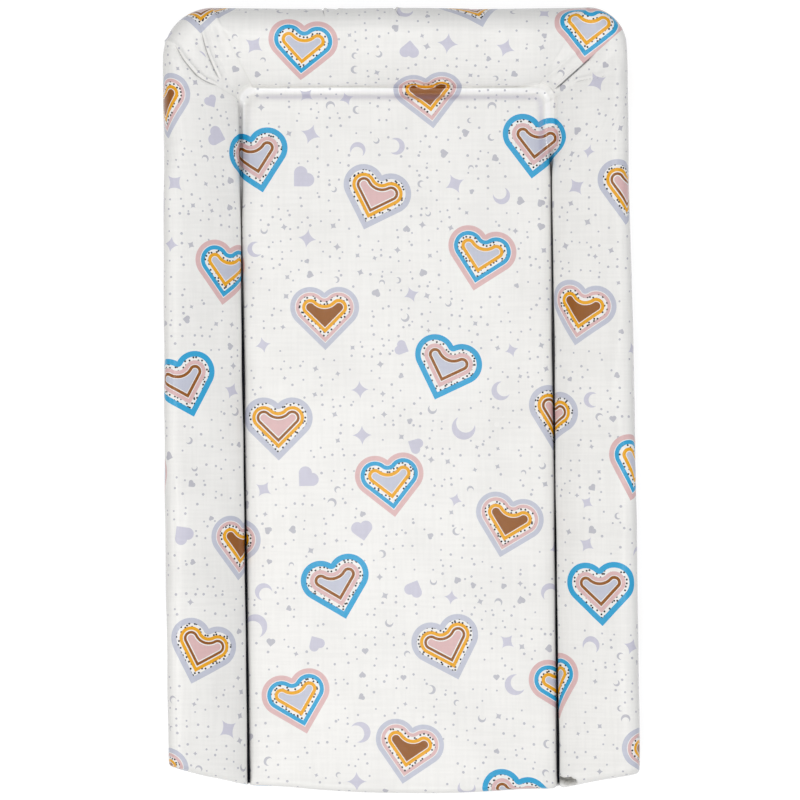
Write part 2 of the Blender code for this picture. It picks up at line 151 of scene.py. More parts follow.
# %% Sections across a crease and a bolster
# Each point is how far out from the crease it lies and how high, in millimetres
OUTER_SECTION = (
    (43.5, 58.4), (52, 61.8), (59.5, 64.2), (65.8, 65.3), (71.0, 64.6), (74.9, 61.6),
    (77.2, 56.0), (78, 48), (78, 38), (77.7, 28), (76.8, 17.5), (75, 8.5), (72, 3.0),
)
TIGHT_SECTION = (
    (-28, 25.1), (-21, 25.1), (-15, 25.05), (-10.5, 24.9), (-7.4, 24.5), (-5.0, 23.8),
    (-3.0, 22.8), (-1.6, 21.2), (-0.9, 18.4), (-0.5, 14.0), (0, 9.8), (0.35, 14.0),
    (0.5, 18.4), (0.65, 22.0), (1.1, 25.2), (2.1, 28.4), (4.0, 32.2), (7.2, 36.4),
    (12, 40.6), (17.8, 44.8), (25.5, 49.4), (34.5, 54.2), *OUTER_SECTION,
)
COVE_SECTION = (
    (-28, 25.1), (-20, 25.05), (-16, 24.8), (-13.6, 24.2), (-11.6, 23.2), (-9.8, 22.1),
    (-8.0, 21.3), (-6.3, 21.0), (-4.4, 21.4), (-2.4, 22.4), (-0.6, 23.3), (1.3, 23.8),
    (2.9, 24.0), (4.2, 23.6), (5.0, 22.5), (5.8, 23.2), (6.8, 26.6), (8.8, 31.4),
    (12.6, 36.8), (18.2, 42.2), (25.5, 48.2), (34.5, 53.9), *OUTER_SECTION,
)
HEAD_SECTION = (
    (-28, 25.1), (-17, 25.1), (-13.6, 24.9), (-11.8, 24.2), (-10.4, 22.9), (-9.0, 21.2),
    (-7.8, 20.1), (-6.5, 20.0), (-5.0, 20.8), (-3.5, 21.8), (-2.0, 22.5), (-0.7, 22.2),
    (0.3, 20.4), (1.1, 20.4), (1.8, 24.0), (2.7, 27.6), (4.7, 32.2), (8.3, 37.2),
    (13, 41.9), (18.5, 46.6), (25.5, 51.8), (33, 56.6), (40.5, 60.4), (47.5, 62.9),
    (54, 63.9), (60, 63.4), (65.4, 61.5), (70, 58.2), (73.8, 53.6), (76.4, 48.0),
    (77.8, 41.2), (77.9, 32), (76.9, 19), (75, 8.5), (72, 3.0),
)
print("points in a section:", len(TIGHT_SECTION), len(COVE_SECTION), len(HEAD_SECTION))

# %% Lines round the mat
RING_SPACING = 1.65 * MM


def smooth_curve(points, at):
    """Places on a smooth curve through points. At counts along it, one for each point."""
    points = np.asarray(points, float)
    last = len(points) - 1
    start = np.clip(np.floor(at).astype(int), 0, last - 1)
    share = (np.asarray(at, float) - start)[:, None]
    before, first = points[np.clip(start - 1, 0, last)], points[start]
    second, after = points[start + 1], points[np.clip(start + 2, 0, last)]
    return 0.5 * (
        2 * first
        + (second - before) * share
        + (2 * before - 5 * first + 4 * second - after) * share**2
        + (3 * first - before - 3 * second + after) * share**3
    )


def even_steps(points, spacing, least=1):
    """Counts along a curve through points, spaced about evenly along it."""
    points = np.asarray(points, float)
    steps = [np.zeros(1)]
    for i, length in enumerate(np.linalg.norm(np.diff(points, axis=0), axis=1)):
        parts = max(least, round(length / spacing))
        steps.append(i + np.arange(1, parts + 1) / parts)
    return np.concatenate(steps)


ring_counts = even_steps(np.array(TIGHT_SECTION) * MM, RING_SPACING)
tight_rings = smooth_curve(np.array(TIGHT_SECTION) * MM, ring_counts)
cove_rings = smooth_curve(np.array(COVE_SECTION) * MM, ring_counts)
head_rings = smooth_curve(np.array(HEAD_SECTION) * MM, ring_counts)
print(len(ring_counts), "lines run round the mat")

# %% [markdown]
# The second set of lines crosses the first. They start at the foot's rim, climb the rolled
# foot end, run up a side, fan round the head corner and end in the middle of the head.
# Each one says which stretch it is on and how far along, and how much of its height it
# keeps where the foot end rolls down. The lines lie closer together towards the corners.

# %% Lines across the mat
FOOT_SECTION = ((6, 0.0), (2.2, 0.05), (0.2, 0.2), (0.3, 0.48), (1.8, 0.78), (6, 0.94), (16, 1.0))
TURN_LINES = 84
SIDE_LINES = 112
HEAD_LINES = 52
PUCKER_SHARES = (0.608, 0.69, 0.994)
foot_counts = even_steps([(e, 60 * k) for e, k in FOOT_SECTION], 3.0)
foot_rows = smooth_curve(FOOT_SECTION, foot_counts)


def eased(count, pull):
    """Shares from 0 to 1 that lie closer together towards 1."""
    share = np.linspace(0, 1, count + 1)[1:]
    return 1 - (1 - share) ** pull


stations = [("foot", e * MM, min(k, 1.0)) for e, k in foot_rows]
stations += [("side", s, 1.0) for s in eased(SIDE_LINES, 1.5)]
stations += [("turn", s, 1.0) for s in np.linspace(0, 1, TURN_LINES + 1)[1:]]
head_shares = 1 - eased(HEAD_LINES, 1.35)[::-1]
extra_shares = [p + 0.006 * step for p in PUCKER_SHARES for step in (-3, -2, -1, 0, 1, 2, 3)]
head_shares = np.unique(np.round([*head_shares[1:], *extra_shares, 1.0], 3))
stations += [("head", s, 1.0) for s in head_shares if s <= 1]
print(len(stations), "lines cross each half")

# %% Where the lines meet
LEFT, RIGHT = 1, -1
END_RADII = {LEFT: (2.5 * MM, 3 * MM), RIGHT: (6 * MM, 4 * MM)}
TUCK_PLACES = {LEFT: 0.42, RIGHT: 0.29}


def corner_radius(out, side):
    """Radius of each line round a head corner, by its distance outside the crease."""
    inner = INNER_CORNER_RADIUS
    grown = inner + (HEAD_CORNER_RADIUS[side] - inner) * out / BOLSTER_WIDTH
    return np.where(out < 0, np.maximum(0, inner * (1 + out / PAD_ROLL)), grown)


def turn_share(place, side):
    """Share of a corner's quarter turn. The lines crowd together at the corner's tuck."""
    half = 2 * place - 1
    crowded = 0.5 + 0.5 * np.sign(half) * np.abs(half) ** 1.3
    return np.interp(crowded, (0, 0.5, 1), (0, TUCK_PLACES[side], 1))


def foot_line(x):
    """Y of the foot's bowed edge."""
    radius = (HALF_WIDTH**2 + FOOT_BOW**2) / (2 * FOOT_BOW)
    return -HALF_LENGTH + radius - np.sqrt(radius**2 - np.minimum(np.abs(x), HALF_WIDTH) ** 2)


def pocket_rounding(x, side):
    """How far the rounded end of a pocket stands back, by the crease and by the outer edge."""
    back = np.zeros_like(x)
    for edge, radius in zip((SIDE_CREASE, HALF_WIDTH), END_RADII[side]):
        short = np.clip(radius - np.abs(np.abs(x) - edge), 0, radius)
        back += radius - np.sqrt(radius**2 - short**2)
    return back


def line_plan(station, out, reach, side):
    """Plan places where one station crosses every ring, on the left half."""
    stretch, place, keep = station
    radius = corner_radius(out, side)
    left, head = -(SIDE_CREASE + out), HEAD_CREASE + out
    rounding = pocket_rounding(SIDE_CREASE + reach, side)
    if stretch == "foot":
        return left, foot_line(left) + place + (rounding if keep > 0 else 0)
    if stretch == "side":
        start = foot_line(left) + rounding + FOOT_ROLL
        return left, start + place * (head - radius - start)
    if stretch == "turn":
        angle = turn_share(place, side) * math.pi / 2
        return left + radius * (1 - math.cos(angle)), head - radius * (1 - math.sin(angle))
    return (left + radius) * (1 - place), head


print("foot corner at", round(float(foot_line(HALF_WIDTH)), 4))

# %% [markdown]
# How hard the film is pulled down changes along the creases. On the left it is tight
# nearly all the way, and shows a strip of the weld near the head corner. On the right,
# below the head corner, it bridges the crease and shows the strip too, and along the head
# it does so all the way. Where the strip shows it is painted whiter, as a painted
# highlight, and the line of each crease is darkened by painted shade, more towards the
# foot. The amounts are eased between a few places along each crease, read as pixel rows or
# columns of the photograph.

# %% How tight each crease is
TIGHT_BY_ROW = {
    LEFT: ((84, 0.10), (94, 0.20), (108, 0.85), (135, 1.0), (800, 1.0)),
    RIGHT: ((84, 0.20), (96, 0.08), (138, 0.10), (176, 1.0), (800, 1.0)),
}
HEAD_BY_COLUMN = {
    LEFT: ((236, 0.45), (268, 1.0), (400, 1.0)),
    RIGHT: ((400, 1.0), (520, 1.0), (552, 0.0)),
}
OPEN_BY_ROW = {
    LEFT: ((84, 0.0), (240, 0.0), (340, 0.2), (600, 0.3), (800, 0.25)),
    RIGHT: ((84, 0.0), (300, 0.0), (420, 0.05), (700, 0.1), (800, 0.3)),
}
STRIP_BY_ROW = {
    LEFT: ((84, 0.45), (104, 0.6), (165, 0.5), (225, 0.0), (800, 0.0)),
    RIGHT: ((84, 0.0), (800, 0.0)),
}
# How much painted shade darkens the line of each crease, by pixel row
PAINTED_SHADE_BY_ROW = {
    LEFT: ((84, 0.0), (96, 0.0), (108, 0.35), (240, 0.5), (330, 1.0), (800, 1.0)),
    RIGHT: ((84, 0.0), (136, 0.0), (166, 0.7), (420, 0.85), (520, 1.0), (800, 1.0)),
}


def softened(share):
    """A share from 0 to 1, with a soft start and a soft end."""
    return share * share * (3 - 2 * share)


def eased_between(table, at):
    """A value eased between the places of a table."""
    places, values = np.array(table).T
    at = np.clip(at, places[0], places[-1])
    i = np.clip(np.searchsorted(places, at) - 1, 0, len(places) - 2)
    share = softened((at - places[i]) / (places[i + 1] - places[i]))
    return values[i] + (values[i + 1] - values[i]) * share


def crease_state(station, side):
    """How tight, how head-like, how far open, and how much painted shade lies on the crease at a station.
    """
    x, y = line_plan(station, np.zeros(1), np.zeros(1), side)
    row, column = PHOTO_CENTRE[1] - y[0] / PIXEL, PHOTO_CENTRE[0] + side * x[0] / PIXEL
    if station[0] in ("foot", "side"):
        tables = (TIGHT_BY_ROW, STRIP_BY_ROW, OPEN_BY_ROW, PAINTED_SHADE_BY_ROW)
        return [eased_between(table[side], row) for table in tables]
    tight = TIGHT_BY_ROW[side][0][1]
    if station[0] == "turn":
        return tight, STRIP_BY_ROW[side][0][1], 0.0, 0.0
    return tight, eased_between(HEAD_BY_COLUMN[side], column), 0.0, 0.0


print("tightness halfway down the right side:", round(float(eased_between(TIGHT_BY_ROW[RIGHT], 400)), 2))

# %% [markdown]
# Now the two sets of lines make a grid. Each half of the U is worked out by itself, since
# the creases differ, and the pad's middle is filled with straight rows between them. The
# grid also keeps how far the film has run, so the print can lie on it as it does on the
# flat film. A grid was chosen because its lines follow the creases, where a remeshed
# surface would blur them.

# %% Both halves of the rim
foot_count, side_count = len(foot_rows), SIDE_LINES
row_count = foot_count + side_count
# How much of the film's climb its map counts, up to the bolster's crest
FILM_TAKEN = 0.55
CREASE_OPENING = 1.4 * MM
SIDE_FULLNESS = 1.0 * MM
SIDE_DRAW = 3.2 * MM


def extra_film(out, height):
    """How much further the film has run than its plan, from the pad's roll outwards."""
    taken = np.where(out[1:] > 66 * MM, 1.0, FILM_TAKEN)
    across, along = np.abs(np.diff(out)), np.hypot(np.diff(out), np.diff(height))
    run = np.cumsum(across + taken * (along - across))
    return np.concatenate([[0.0], run]) - (out - out[0])


def bulge(y):
    """How far the sides stand out: drawn in at the head and a little full at the foot."""
    share = limited((y + 0.10) / 0.42)
    return SIDE_FULLNESS - SIDE_DRAW * share * share * (3 - 2 * share)


def half_grid(side):
    """Points of one half of the U, the film's extra run, how much painted shade darkens its
    crease, and how much the strip of a weld shows, which is painted whiter as a painted
    highlight; it is negative in the groove beside it, where it gives painted shade."""
    grid = np.zeros((len(stations), len(ring_counts), 3))
    extra, station_painted_shade, strip = np.zeros((3, *grid.shape[:2]))
    for k, station in enumerate(stations):
        tight, headlike, opened, station_painted_shade[k] = crease_state(station, side)
        section = cove_rings + (tight_rings - cove_rings) * tight
        section = section + (head_rings - section) * headlike
        out, height = section[:, 0].copy(), section[:, 1]
        extra[k] = extra_film(out, height)
        # The strip of a weld gets gloss and is painted whiter as a painted highlight; painted shade lies
        # in the groove beside it
        inside = limited((out / MM + 6.5) / 2) * limited(-0.2 - out / MM)
        painted_groove_shade = 0.5 * hill(out / MM + 10, 2.6) * (1 if side == RIGHT else headlike**3)
        strip[k] = (inside - painted_groove_shade) * max(min(1, 1.6 * headlike), 1 - tight)
        near = hill(out, 7 * MM)
        out += np.sign(out) * np.minimum(np.abs(out), CREASE_OPENING) * opened * near
        reach = np.maximum.accumulate(out)
        x, y = line_plan(station, out, reach, side)
        x -= bulge(y) * limited(out / BOLSTER_WIDTH) * limited(-x / SIDE_CREASE)
        if station[2] <= 0:
            x = np.maximum(x, RIM_INSET - HALF_WIDTH)
            y = foot_line(x) + RIM_INSET
        grid[k] = np.stack([x, y, RIM_HEIGHT + (height - RIM_HEIGHT) * station[2]], axis=1)
    grid[..., 0] *= side
    return grid, extra, station_painted_shade, strip


rim_grid, extra_run, rim_painted_shade, weld_strip = (
    np.concatenate([left, right[-2::-1]]) for left, right in zip(half_grid(LEFT), half_grid(RIGHT))
)
total, rings = rim_grid.shape[:2]
columns = np.array([0.0] + [s[1] for s in stations if s[0] == "head"])
print(total, "lines cross the rim,", rings, "lines run round it")

# %% The middle of the pad
PAD_EDGE_HEIGHT = 25.1
PAD_CROWN = 0.9


def pad_grid():
    """Points inside the pad's roll: rows by columns."""
    across = np.concatenate([columns, 2 - columns[-2::-1]])
    grid = np.zeros((row_count, len(across), 3))
    for r, (stretch, place, keep) in enumerate(stations[:row_count]):
        x = (SIDE_CREASE - PAD_ROLL) * (across - 1)
        inside = 1 - np.abs(across - 1)
        along = 1 - place**4 if stretch == "side" else 1.0
        z = (PAD_EDGE_HEIGHT + PAD_CROWN * along * (1 - (1 - inside) ** 2)) * MM
        if stretch == "foot":
            y = foot_line(x) + place
        else:
            start = foot_line(x) + FOOT_ROLL
            y = start + place * (HEAD_CREASE - PAD_ROLL - start)
        if keep <= 0:
            y = foot_line(x) + RIM_INSET
        grid[r] = np.stack([x, y, RIM_HEIGHT + (z - RIM_HEIGHT) * keep], axis=1)
    return grid


inner_grid = pad_grid()
print("grids:", rim_grid.shape, inner_grid.shape)

# %% [markdown]
# Folds come next. Each is a line across the film: a valley with a soft ridge to its left,
# which fades towards its ends. Their places come from the photograph, where folds fan out
# from the upper left inner corner, a mitre tuck runs out from the upper right one, and
# fainter drags and puckers lie elsewhere. A bump in the material would be quicker, but real
# folds change the outline and catch the light, so the points themselves are moved.

# %% Where the folds lie
FOLDS = (
    # places in the photograph, valley, ridge and width in mm, fade at start and at end, painted shade
    # along the valley
    (((176, 46), (178, 50), (183, 59), (189, 66.5), (196, 74.5), (203, 80), (212, 84), (219, 86)),
     1.9, 2.3, 1.8, (0.12, 0.16), 0.45),
    (((201, 27), (203, 37), (206.5, 50), (209, 57), (212, 64), (216, 73), (220, 80)),
     1.7, 2.1, 1.7, (0.3, 0.12), 0.45),
    (((206, 24), (211, 35), (216, 52), (220, 60), (225, 68)), 0.7, 1.2, 2.8, (0.3, 0.4), 0),
    (((168, 81), (175, 85), (183, 86.5), (190, 85.5), (197, 87)), 0.6, 0.6, 2.4, (0.2, 0.4), 0),
    (((165, 100), (178, 99), (196, 97), (212, 92)), 0.3, 0.4, 3.6, (0.5, 0.4), 0),
    (((573, 83), (580, 81), (589, 79.5), (598, 78.5), (606, 76), (614, 71.5)),
     1.3, 1.1, 1.7, (0.15, 0.4), 0.2),
    (((584, 113), (592, 110.5), (604, 108), (614, 104)), 0.6, 0.6, 2.2, (0.3, 0.5), 0),
    (((566, 146), (588, 137), (612, 124)), 0.3, 0.5, 3.4, (0.4, 0.5), 0),
    (((566, 205), (590, 190), (612, 176)), 0.2, 0.4, 4.0, (0.5, 0.5), 0),
    (((322.5, 7), (323.5, 12), (325, 19)), 1.9, 1.2, 1.6, (0.0, 0.7), 0.4),
    (((336, 7), (337, 16), (336, 28)), 1.0, 0.7, 2.4, (0.0, 0.8), 0),
    (((394, 7), (396, 11), (400, 18), (401, 26)), 1.5, 1.2, 1.8, (0.0, 0.7), 0.3),
    (((300, 690), (292, 716), (283, 742), (275, 762)), 0.4, 0.9, 4.0, (0.5, 0.4), 0),
)
RIDGES = (
    # places in the photograph, height and width in mm, fade at start and at end
    (((158, 39), (168, 41.5), (177, 46.5), (184, 54)), 1.6, 2.2, (0.0, 0.5)),
    (((203, 26), (202, 33), (204.5, 41)), 0.9, 1.8, (0.4, 0.5)),
    (((544, 95), (551, 90), (558, 85.3), (564, 80)), 1.1, 3.0, (0.4, 0.4)),
)
# The right pocket's end is folded under beside the crease
FOLDED_END = ((560.5, 778), (569, 779.2), (578, 780.5))
print(len(FOLDS), "folds and", len(RIDGES), "ridges")

# %% How far a place is from a fold's line
def drawn_line(pixels):
    """A smooth line on the mat through places in the photograph."""
    points = np.array([on_mat(*p) for p in pixels])
    return smooth_curve(points, even_steps(points, 3 * MM))


def from_line(line, x, y):
    """Signed distance from a line, positive to its left, and the share of its length."""
    place = np.stack([x, y], axis=-1)
    nearest = np.full(x.shape, 9.0)
    signed, along = np.zeros(x.shape), np.zeros(x.shape)
    lengths = np.linalg.norm(np.diff(line, axis=0), axis=1)
    starts = np.concatenate([[0], np.cumsum(lengths)])
    for i, (a, b) in enumerate(zip(line, line[1:])):
        t = limited(((place - a) @ (b - a)) / lengths[i] ** 2)
        gap = place - (a + t[..., None] * (b - a))
        distance = np.hypot(gap[..., 0], gap[..., 1])
        turn = np.sign((b - a)[0] * gap[..., 1] - (b - a)[1] * gap[..., 0])
        closer = distance < nearest
        nearest = np.where(closer, distance, nearest)
        signed = np.where(closer, distance * turn, signed)
        along = np.where(closer, (starts[i] + t * lengths[i]) / starts[-1], along)
    return signed, along


def fade(along, start, end):
    """From 0 at a line's ends to 1 between its fades."""
    rise = limited(along / start) if start else np.ones_like(along)
    fall = limited((1 - along) / end) if end else np.ones_like(along)
    return softened(rise * fall)


print("the first fold is drawn with", len(drawn_line(FOLDS[0][0])), "points")


# %% How far folds and tucks raise the film
def fold_height(x, y):
    """How far all the folds raise the film at each place."""
    height = np.zeros(x.shape)
    for pixels, valley, ridge, width, ends, _ in FOLDS:
        signed, along = from_line(drawn_line(pixels), x, y)
        window, width = fade(along, *ends), width * MM
        height -= valley * MM * hill(signed, 0.6 * width) * window
        height += ridge * MM * hill(signed - 1.25 * width, width) * window
    for pixels, ridge, width, ends in RIDGES:
        signed, along = from_line(drawn_line(pixels), x, y)
        height += ridge * MM * hill(signed, width * MM) * fade(along, *ends)
    return height


right_tuck = rim_grid[total - 1 - (row_count + TURN_LINES // 2 - 1), :, :2]
ring_outs = tight_rings[:, 0]
right_tuck = right_tuck[(ring_outs > 3 * MM) & (ring_outs < 52 * MM)][::2]


def tuck_height(x, y):
    """The flap of the right mitre tuck. The film steps down behind it into a narrow valley,
    and a second short step lies on the flap."""
    signed, along = from_line(right_tuck, x, y)
    signed = signed / MM
    window, first = fade(along, 0.1, 0.35), fade(along, 0.15, 0.2) * (along < 0.55)
    flap = softened(np.where(signed > 0.05, limited((14 - signed) / 5), 0)) * 1.5
    flap -= 0.6 * hill(signed - 13.5, 2.2)
    notch = np.where(signed > 0.05, 0.8 * hill(signed - 2.8, 0.7), 0)
    valley = np.where(signed <= 0.05, 1.5 * hill(signed + 0.2, 0.8), 0)
    return ((flap - valley) * window - notch * first) * MM


def folded_under(x, y):
    """1 inside the end of the right pocket that is folded under, 0 elsewhere."""
    signed, along = from_line(drawn_line(FOLDED_END), x, y)
    depth = 3.2 * MM * np.sqrt(limited(1 - (2 * along - 1) ** 2))
    inside = limited((depth - np.abs(signed)) / (1.2 * MM) + 0.5)
    return np.where((along > 0) & (along < 1), inside, 0)


def swells(x, y):
    """Slow unevenness of film over foam, a few tenths of a millimetre."""
    wave = np.sin(23 * x + 1.3) * np.sin(17 * y + 0.4) + 0.7 * np.sin(41 * x - 29 * y)
    return 0.25 * MM * wave + 0.15 * MM * np.sin(63 * y + 31 * x + 2.0)


print("the right tuck is drawn with", len(right_tuck), "points")


# %% Raise the film
def raised(grid):
    """A grid with its folds, moved out along its own normals."""
    down, over = np.gradient(grid, axis=0), np.gradient(grid, axis=1)
    normal = np.cross(over, down)
    length = np.linalg.norm(normal, axis=-1, keepdims=True)
    normal = np.where(length > 1e-12, normal / np.maximum(length, 1e-12), (0, 0, 1.0))
    if normal[len(normal) // 2, 1, 2] < 0:
        normal = -normal
    x, y = grid[..., 0], grid[..., 1]
    height = fold_height(x, y) + tuck_height(x, y) + swells(x, y)
    clear_of_floor = limited((grid[..., 2] - 8 * MM) / (10 * MM))
    made = grid + normal * (height * clear_of_floor)[..., None]
    under = folded_under(x, y)
    made[..., 1] += 2.5 * MM * under
    made[..., 2] -= 0.7 * under * (made[..., 2] - RIM_HEIGHT)
    return made


raised_rim, raised_inner = raised(rim_grid), raised(inner_grid)
print("folds raise the film by up to", round(float(np.abs(raised_rim - rim_grid).max()) * 1000, 2), "mm")

# %% [markdown]
# Film over foam is never quite even. A short cloth simulation gives it its drags. It runs on
# a coarse copy of the grid, held along the creases, the rim and the foot, with pressure from
# within and a little slack. The sections already have the film's even shape, so only the
# uneven part of the movement is kept, made small, capped and spread over the fine grid.
# Noise would be simpler, but it wouldn't pull away from the creases as film does.

# %% Helpers for meshes
def corners_of(index):
    """The four corners of each cell of a grid, going round it."""
    return np.stack([index[:-1, :-1], index[1:, :-1], index[1:, 1:], index[:-1, 1:]], axis=-1)


def new_piece(name, points, faces, maps=()):
    """A smooth-shaded mesh object from points and faces, with its maps."""
    mesh = bpy.data.meshes.new(name)
    mesh.from_pydata([tuple(p) for p in points], [], faces)
    for map_name, places in maps:
        layer = mesh.uv_layers.new(name=map_name)
        layer.data.foreach_set("uv", np.asarray(places, np.float32).ravel())
    mesh.shade_smooth()
    mesh.validate()
    made = bpy.data.objects.new(name, mesh)
    scene.collection.objects.link(made)
    return made


print("mesh helpers ready")

# %% Let the film settle
PRESSURE = 4.0
SLACK = 0.002
STRETCH_STIFFNESS, SHEAR_STIFFNESS, BEND_STIFFNESS = 40, 13, 2
LAST_FRAME = 20
# The coarse copy takes every fourth line and every third ring
EVERY_LINE, EVERY_RING = 4, 3
# The even part of the movement is its mean over this many coarse lines
EVEN_OVER = 15
KEPT_SHARE = 0.35
SETTLE_CAP = 0.6 * MM
HELD_BELOW = 14 * MM
HELD_BESIDE_CREASE = 2 * MM


def simulated(film, held):
    """Where the points of a film end after the cloth simulation. The film is taken away."""
    group = film.vertex_groups.new(name="held")
    group.add(held, 1.0, "REPLACE")
    cloth = film.modifiers.new("cloth", "CLOTH")
    cloth.collision_settings.use_collision = False
    settings = cloth.settings
    settings.tension_stiffness = settings.compression_stiffness = STRETCH_STIFFNESS
    settings.shear_stiffness, settings.bending_stiffness = SHEAR_STIFFNESS, BEND_STIFFNESS
    settings.vertex_group_mass = group.name
    settings.use_pressure, settings.uniform_pressure_force = True, PRESSURE
    settings.shrink_min = -SLACK
    settings.effector_weights.gravity = 0
    for step in range(1, LAST_FRAME + 1):
        scene.frame_set(step)
    made = film.evaluated_get(bpy.context.evaluated_depsgraph_get()).data
    ends = np.zeros(len(made.vertices) * 3, np.float32)
    made.vertices.foreach_get("co", ends)
    scene.frame_set(1)
    bpy.data.meshes.remove(film.data)
    return ends.reshape(-1, 3)


def settled(grid):
    """The rim's grid with the small unevenness that the simulation gives it."""
    lines = np.unique([*range(foot_count - 1, total - foot_count, EVERY_LINE), total - foot_count])
    first = int(np.searchsorted(ring_outs, 0))
    across = np.unique([*range(first, rings - 1, EVERY_RING), rings - 1])
    coarse = grid[np.ix_(lines, across)]
    held = (coarse[..., 2] < HELD_BELOW) | (ring_outs[across] < HELD_BESIDE_CREASE)
    held[[0, -1]] = True
    index = np.arange(held.size).reshape(held.shape)
    film = new_piece("settling film", coarse.reshape(-1, 3), corners_of(index).reshape(-1, 4).tolist())
    moved = simulated(film, index[held].tolist()).reshape(coarse.shape) - coarse
    wider = np.pad(moved, ((EVEN_OVER // 2, EVEN_OVER // 2), (0, 0), (0, 0)), mode="edge")
    even = sum(wider[i : i + len(lines)] for i in range(EVEN_OVER)) / EVEN_OVER
    moved = (moved - even) * KEPT_SHARE
    moved[held] = 0
    lengths = np.linalg.norm(moved, axis=-1, keepdims=True)
    moved *= np.minimum(1, SETTLE_CAP / np.maximum(lengths, 1e-9))
    at_lines = np.interp(np.arange(total), lines, np.arange(len(lines)))
    at_rings = np.interp(np.arange(rings), across, np.arange(len(across)))
    moved = smooth_curve(moved.reshape(len(lines), -1), at_lines).reshape(total, len(across), 3)
    moved = smooth_curve(moved.transpose(1, 0, 2).reshape(len(across), -1), at_rings)
    moved = moved.reshape(rings, total, 3).transpose(1, 0, 2)
    print("the film settles by up to", round(float(np.abs(moved).max()) * 1000, 2), "mm")
    return grid + moved


raised_rim = settled(raised_rim)

# %% [markdown]
# The two grids share the line where the pad begins to roll. The lines that fan round an
# inner corner all start from one point there. The mesh gets three maps. The first is the
# film itself, in metres, for the print and the embossing: it splits along the mitre of a
# head corner, where the surplus film is taken in. The second says how far each place lies
# from the nearest crease or tuck, and how much painted shade darkens that line. The third
# says where the strip of a weld shows, which is painted whiter as a painted highlight,
# where painted shade lies in the groove beside it, and where film is folded under, which
# gets painted shade. An unwrapping tool could make the first map, but here the film's own
# run is known, so the print keeps its true size.

# %% Number the cover's points
inner_rows, inner_columns = raised_inner.shape[:2]
half_count = len(stations)
turn_start, turn_end = row_count, row_count + TURN_LINES
mitre = turn_start + TURN_LINES // 2 - 1


def start_index(t):
    """Which point of the pad's grid a line across the rim starts from."""
    mirrored = t >= half_count
    k = total - 1 - t if mirrored else t
    row = min(k, inner_rows - 1)
    column = max(0, k - turn_end + 1)
    return row * inner_columns + (inner_columns - 1 - column if mirrored else column)


inner_index = np.arange(inner_rows * inner_columns).reshape(inner_rows, inner_columns)
rim_index = np.zeros((total, rings), int)
rim_index[:, 0] = [start_index(t) for t in range(total)]
rim_index[:, 1:] = np.arange(total * (rings - 1)).reshape(total, rings - 1) + inner_index.size
points = np.concatenate([raised_inner.reshape(-1, 3), raised_rim[:, 1:].reshape(-1, 3)])


print("the cover has", len(points), "points")


# %% Lay the film flat
def film_places(grid, extra, sideways):
    """Places on the flat film of the rim's points, with the extra run taken sideways or up."""
    film = grid[..., :2].copy()
    if sideways:
        film[..., 0] += np.sign(film[..., 0]) * extra
    else:
        film[..., 1] += extra
    return film


def foot_drop(grid):
    """How far the film has run down the foot end, from each point's own row upwards."""
    drop = np.zeros(grid.shape[:2])
    drops = np.linalg.norm(np.diff(grid[: foot_count + 1], axis=0), axis=2)
    forward = np.abs(np.diff(grid[: foot_count + 1, :, 1], axis=0))
    drop[:foot_count] = np.cumsum((drops - forward)[::-1], axis=0)[::-1]
    return drop


film_inner = inner_grid[..., :2].copy()
film_inner[..., 1] -= foot_drop(inner_grid)
rim_drop = foot_drop(rim_grid) + foot_drop(rim_grid[::-1])[::-1]
film_side = film_places(rim_grid, extra_run, True)
film_head = film_places(rim_grid, extra_run, False)
film_side[..., 1] -= rim_drop

cells = corners_of(rim_index).reshape(-1, 4)
cell_line = np.repeat(np.arange(total - 1), rings - 1)
on_side = np.minimum(cell_line, total - 2 - cell_line) < mitre
side_corners = corners_of(np.arange(total * rings).reshape(total, rings)).reshape(-1, 4)
film_cells = np.where(
    on_side[:, None, None],
    film_side.reshape(-1, 2)[side_corners],
    film_head.reshape(-1, 2)[side_corners],
)
print("the flat film is", np.round(np.ptp(film_side.reshape(-1, 2), axis=0), 2), "metres along its sides")


# %% How near each place is to a crease or a fold
def seam_places():
    """How far each point of the rim's grid lies from the nearest crease, tuck or deep fold,
    and how much painted shade darkens the line of that one."""
    x, y = rim_grid[..., 0], rim_grid[..., 1]
    nearest, shade = np.abs(np.broadcast_to(ring_outs, x.shape)).copy(), rim_painted_shade.copy()
    lines = [(right_tuck, (0.1, 0.3), 0.62)]
    lines += [(drawn_line(pixels), ends, dark) for pixels, _, _, _, ends, dark in FOLDS if dark]
    for line, ends, dark in lines:
        signed, along = from_line(line, x, y)
        away = 1.5 * np.abs(signed)
        closer = away < nearest
        shade = np.where(closer, dark * fade(along, *ends), shade)
        nearest = np.where(closer, away, nearest)
    return np.stack([nearest, shade], axis=-1)


seam_rim = seam_places().reshape(-1, 2)[side_corners]
# Painted shade on the folded-under end of the right pocket
folded_end_painted_shade = folded_under(rim_grid[..., 0], rim_grid[..., 1])
strip_rim = np.stack([weld_strip.ravel(), folded_end_painted_shade.ravel()], axis=-1)[side_corners]
inner_cells = corners_of(inner_index).reshape(-1, 4)[:, ::-1]
film_inner_cells = film_inner.reshape(-1, 2)[inner_cells]
seam_inner = np.full(film_inner_cells.shape, (PAD_ROLL, 0.0))
print("cover:", len(points), "points,", len(cells) + len(inner_cells), "faces")


# %% Build the cover
def whole_faces(cells, *places):
    """Faces without doubled corners, and the places of the corners that are left."""
    kept = np.ones(cells.shape, bool)
    kept[:, 1:] = cells[:, 1:] != cells[:, :-1]
    kept[:, 0] = cells[:, 0] != cells[:, -1]
    faces = [cell[keep].tolist() for cell, keep in zip(cells, kept)]
    return faces, *(np.asarray(p)[kept] for p in places)


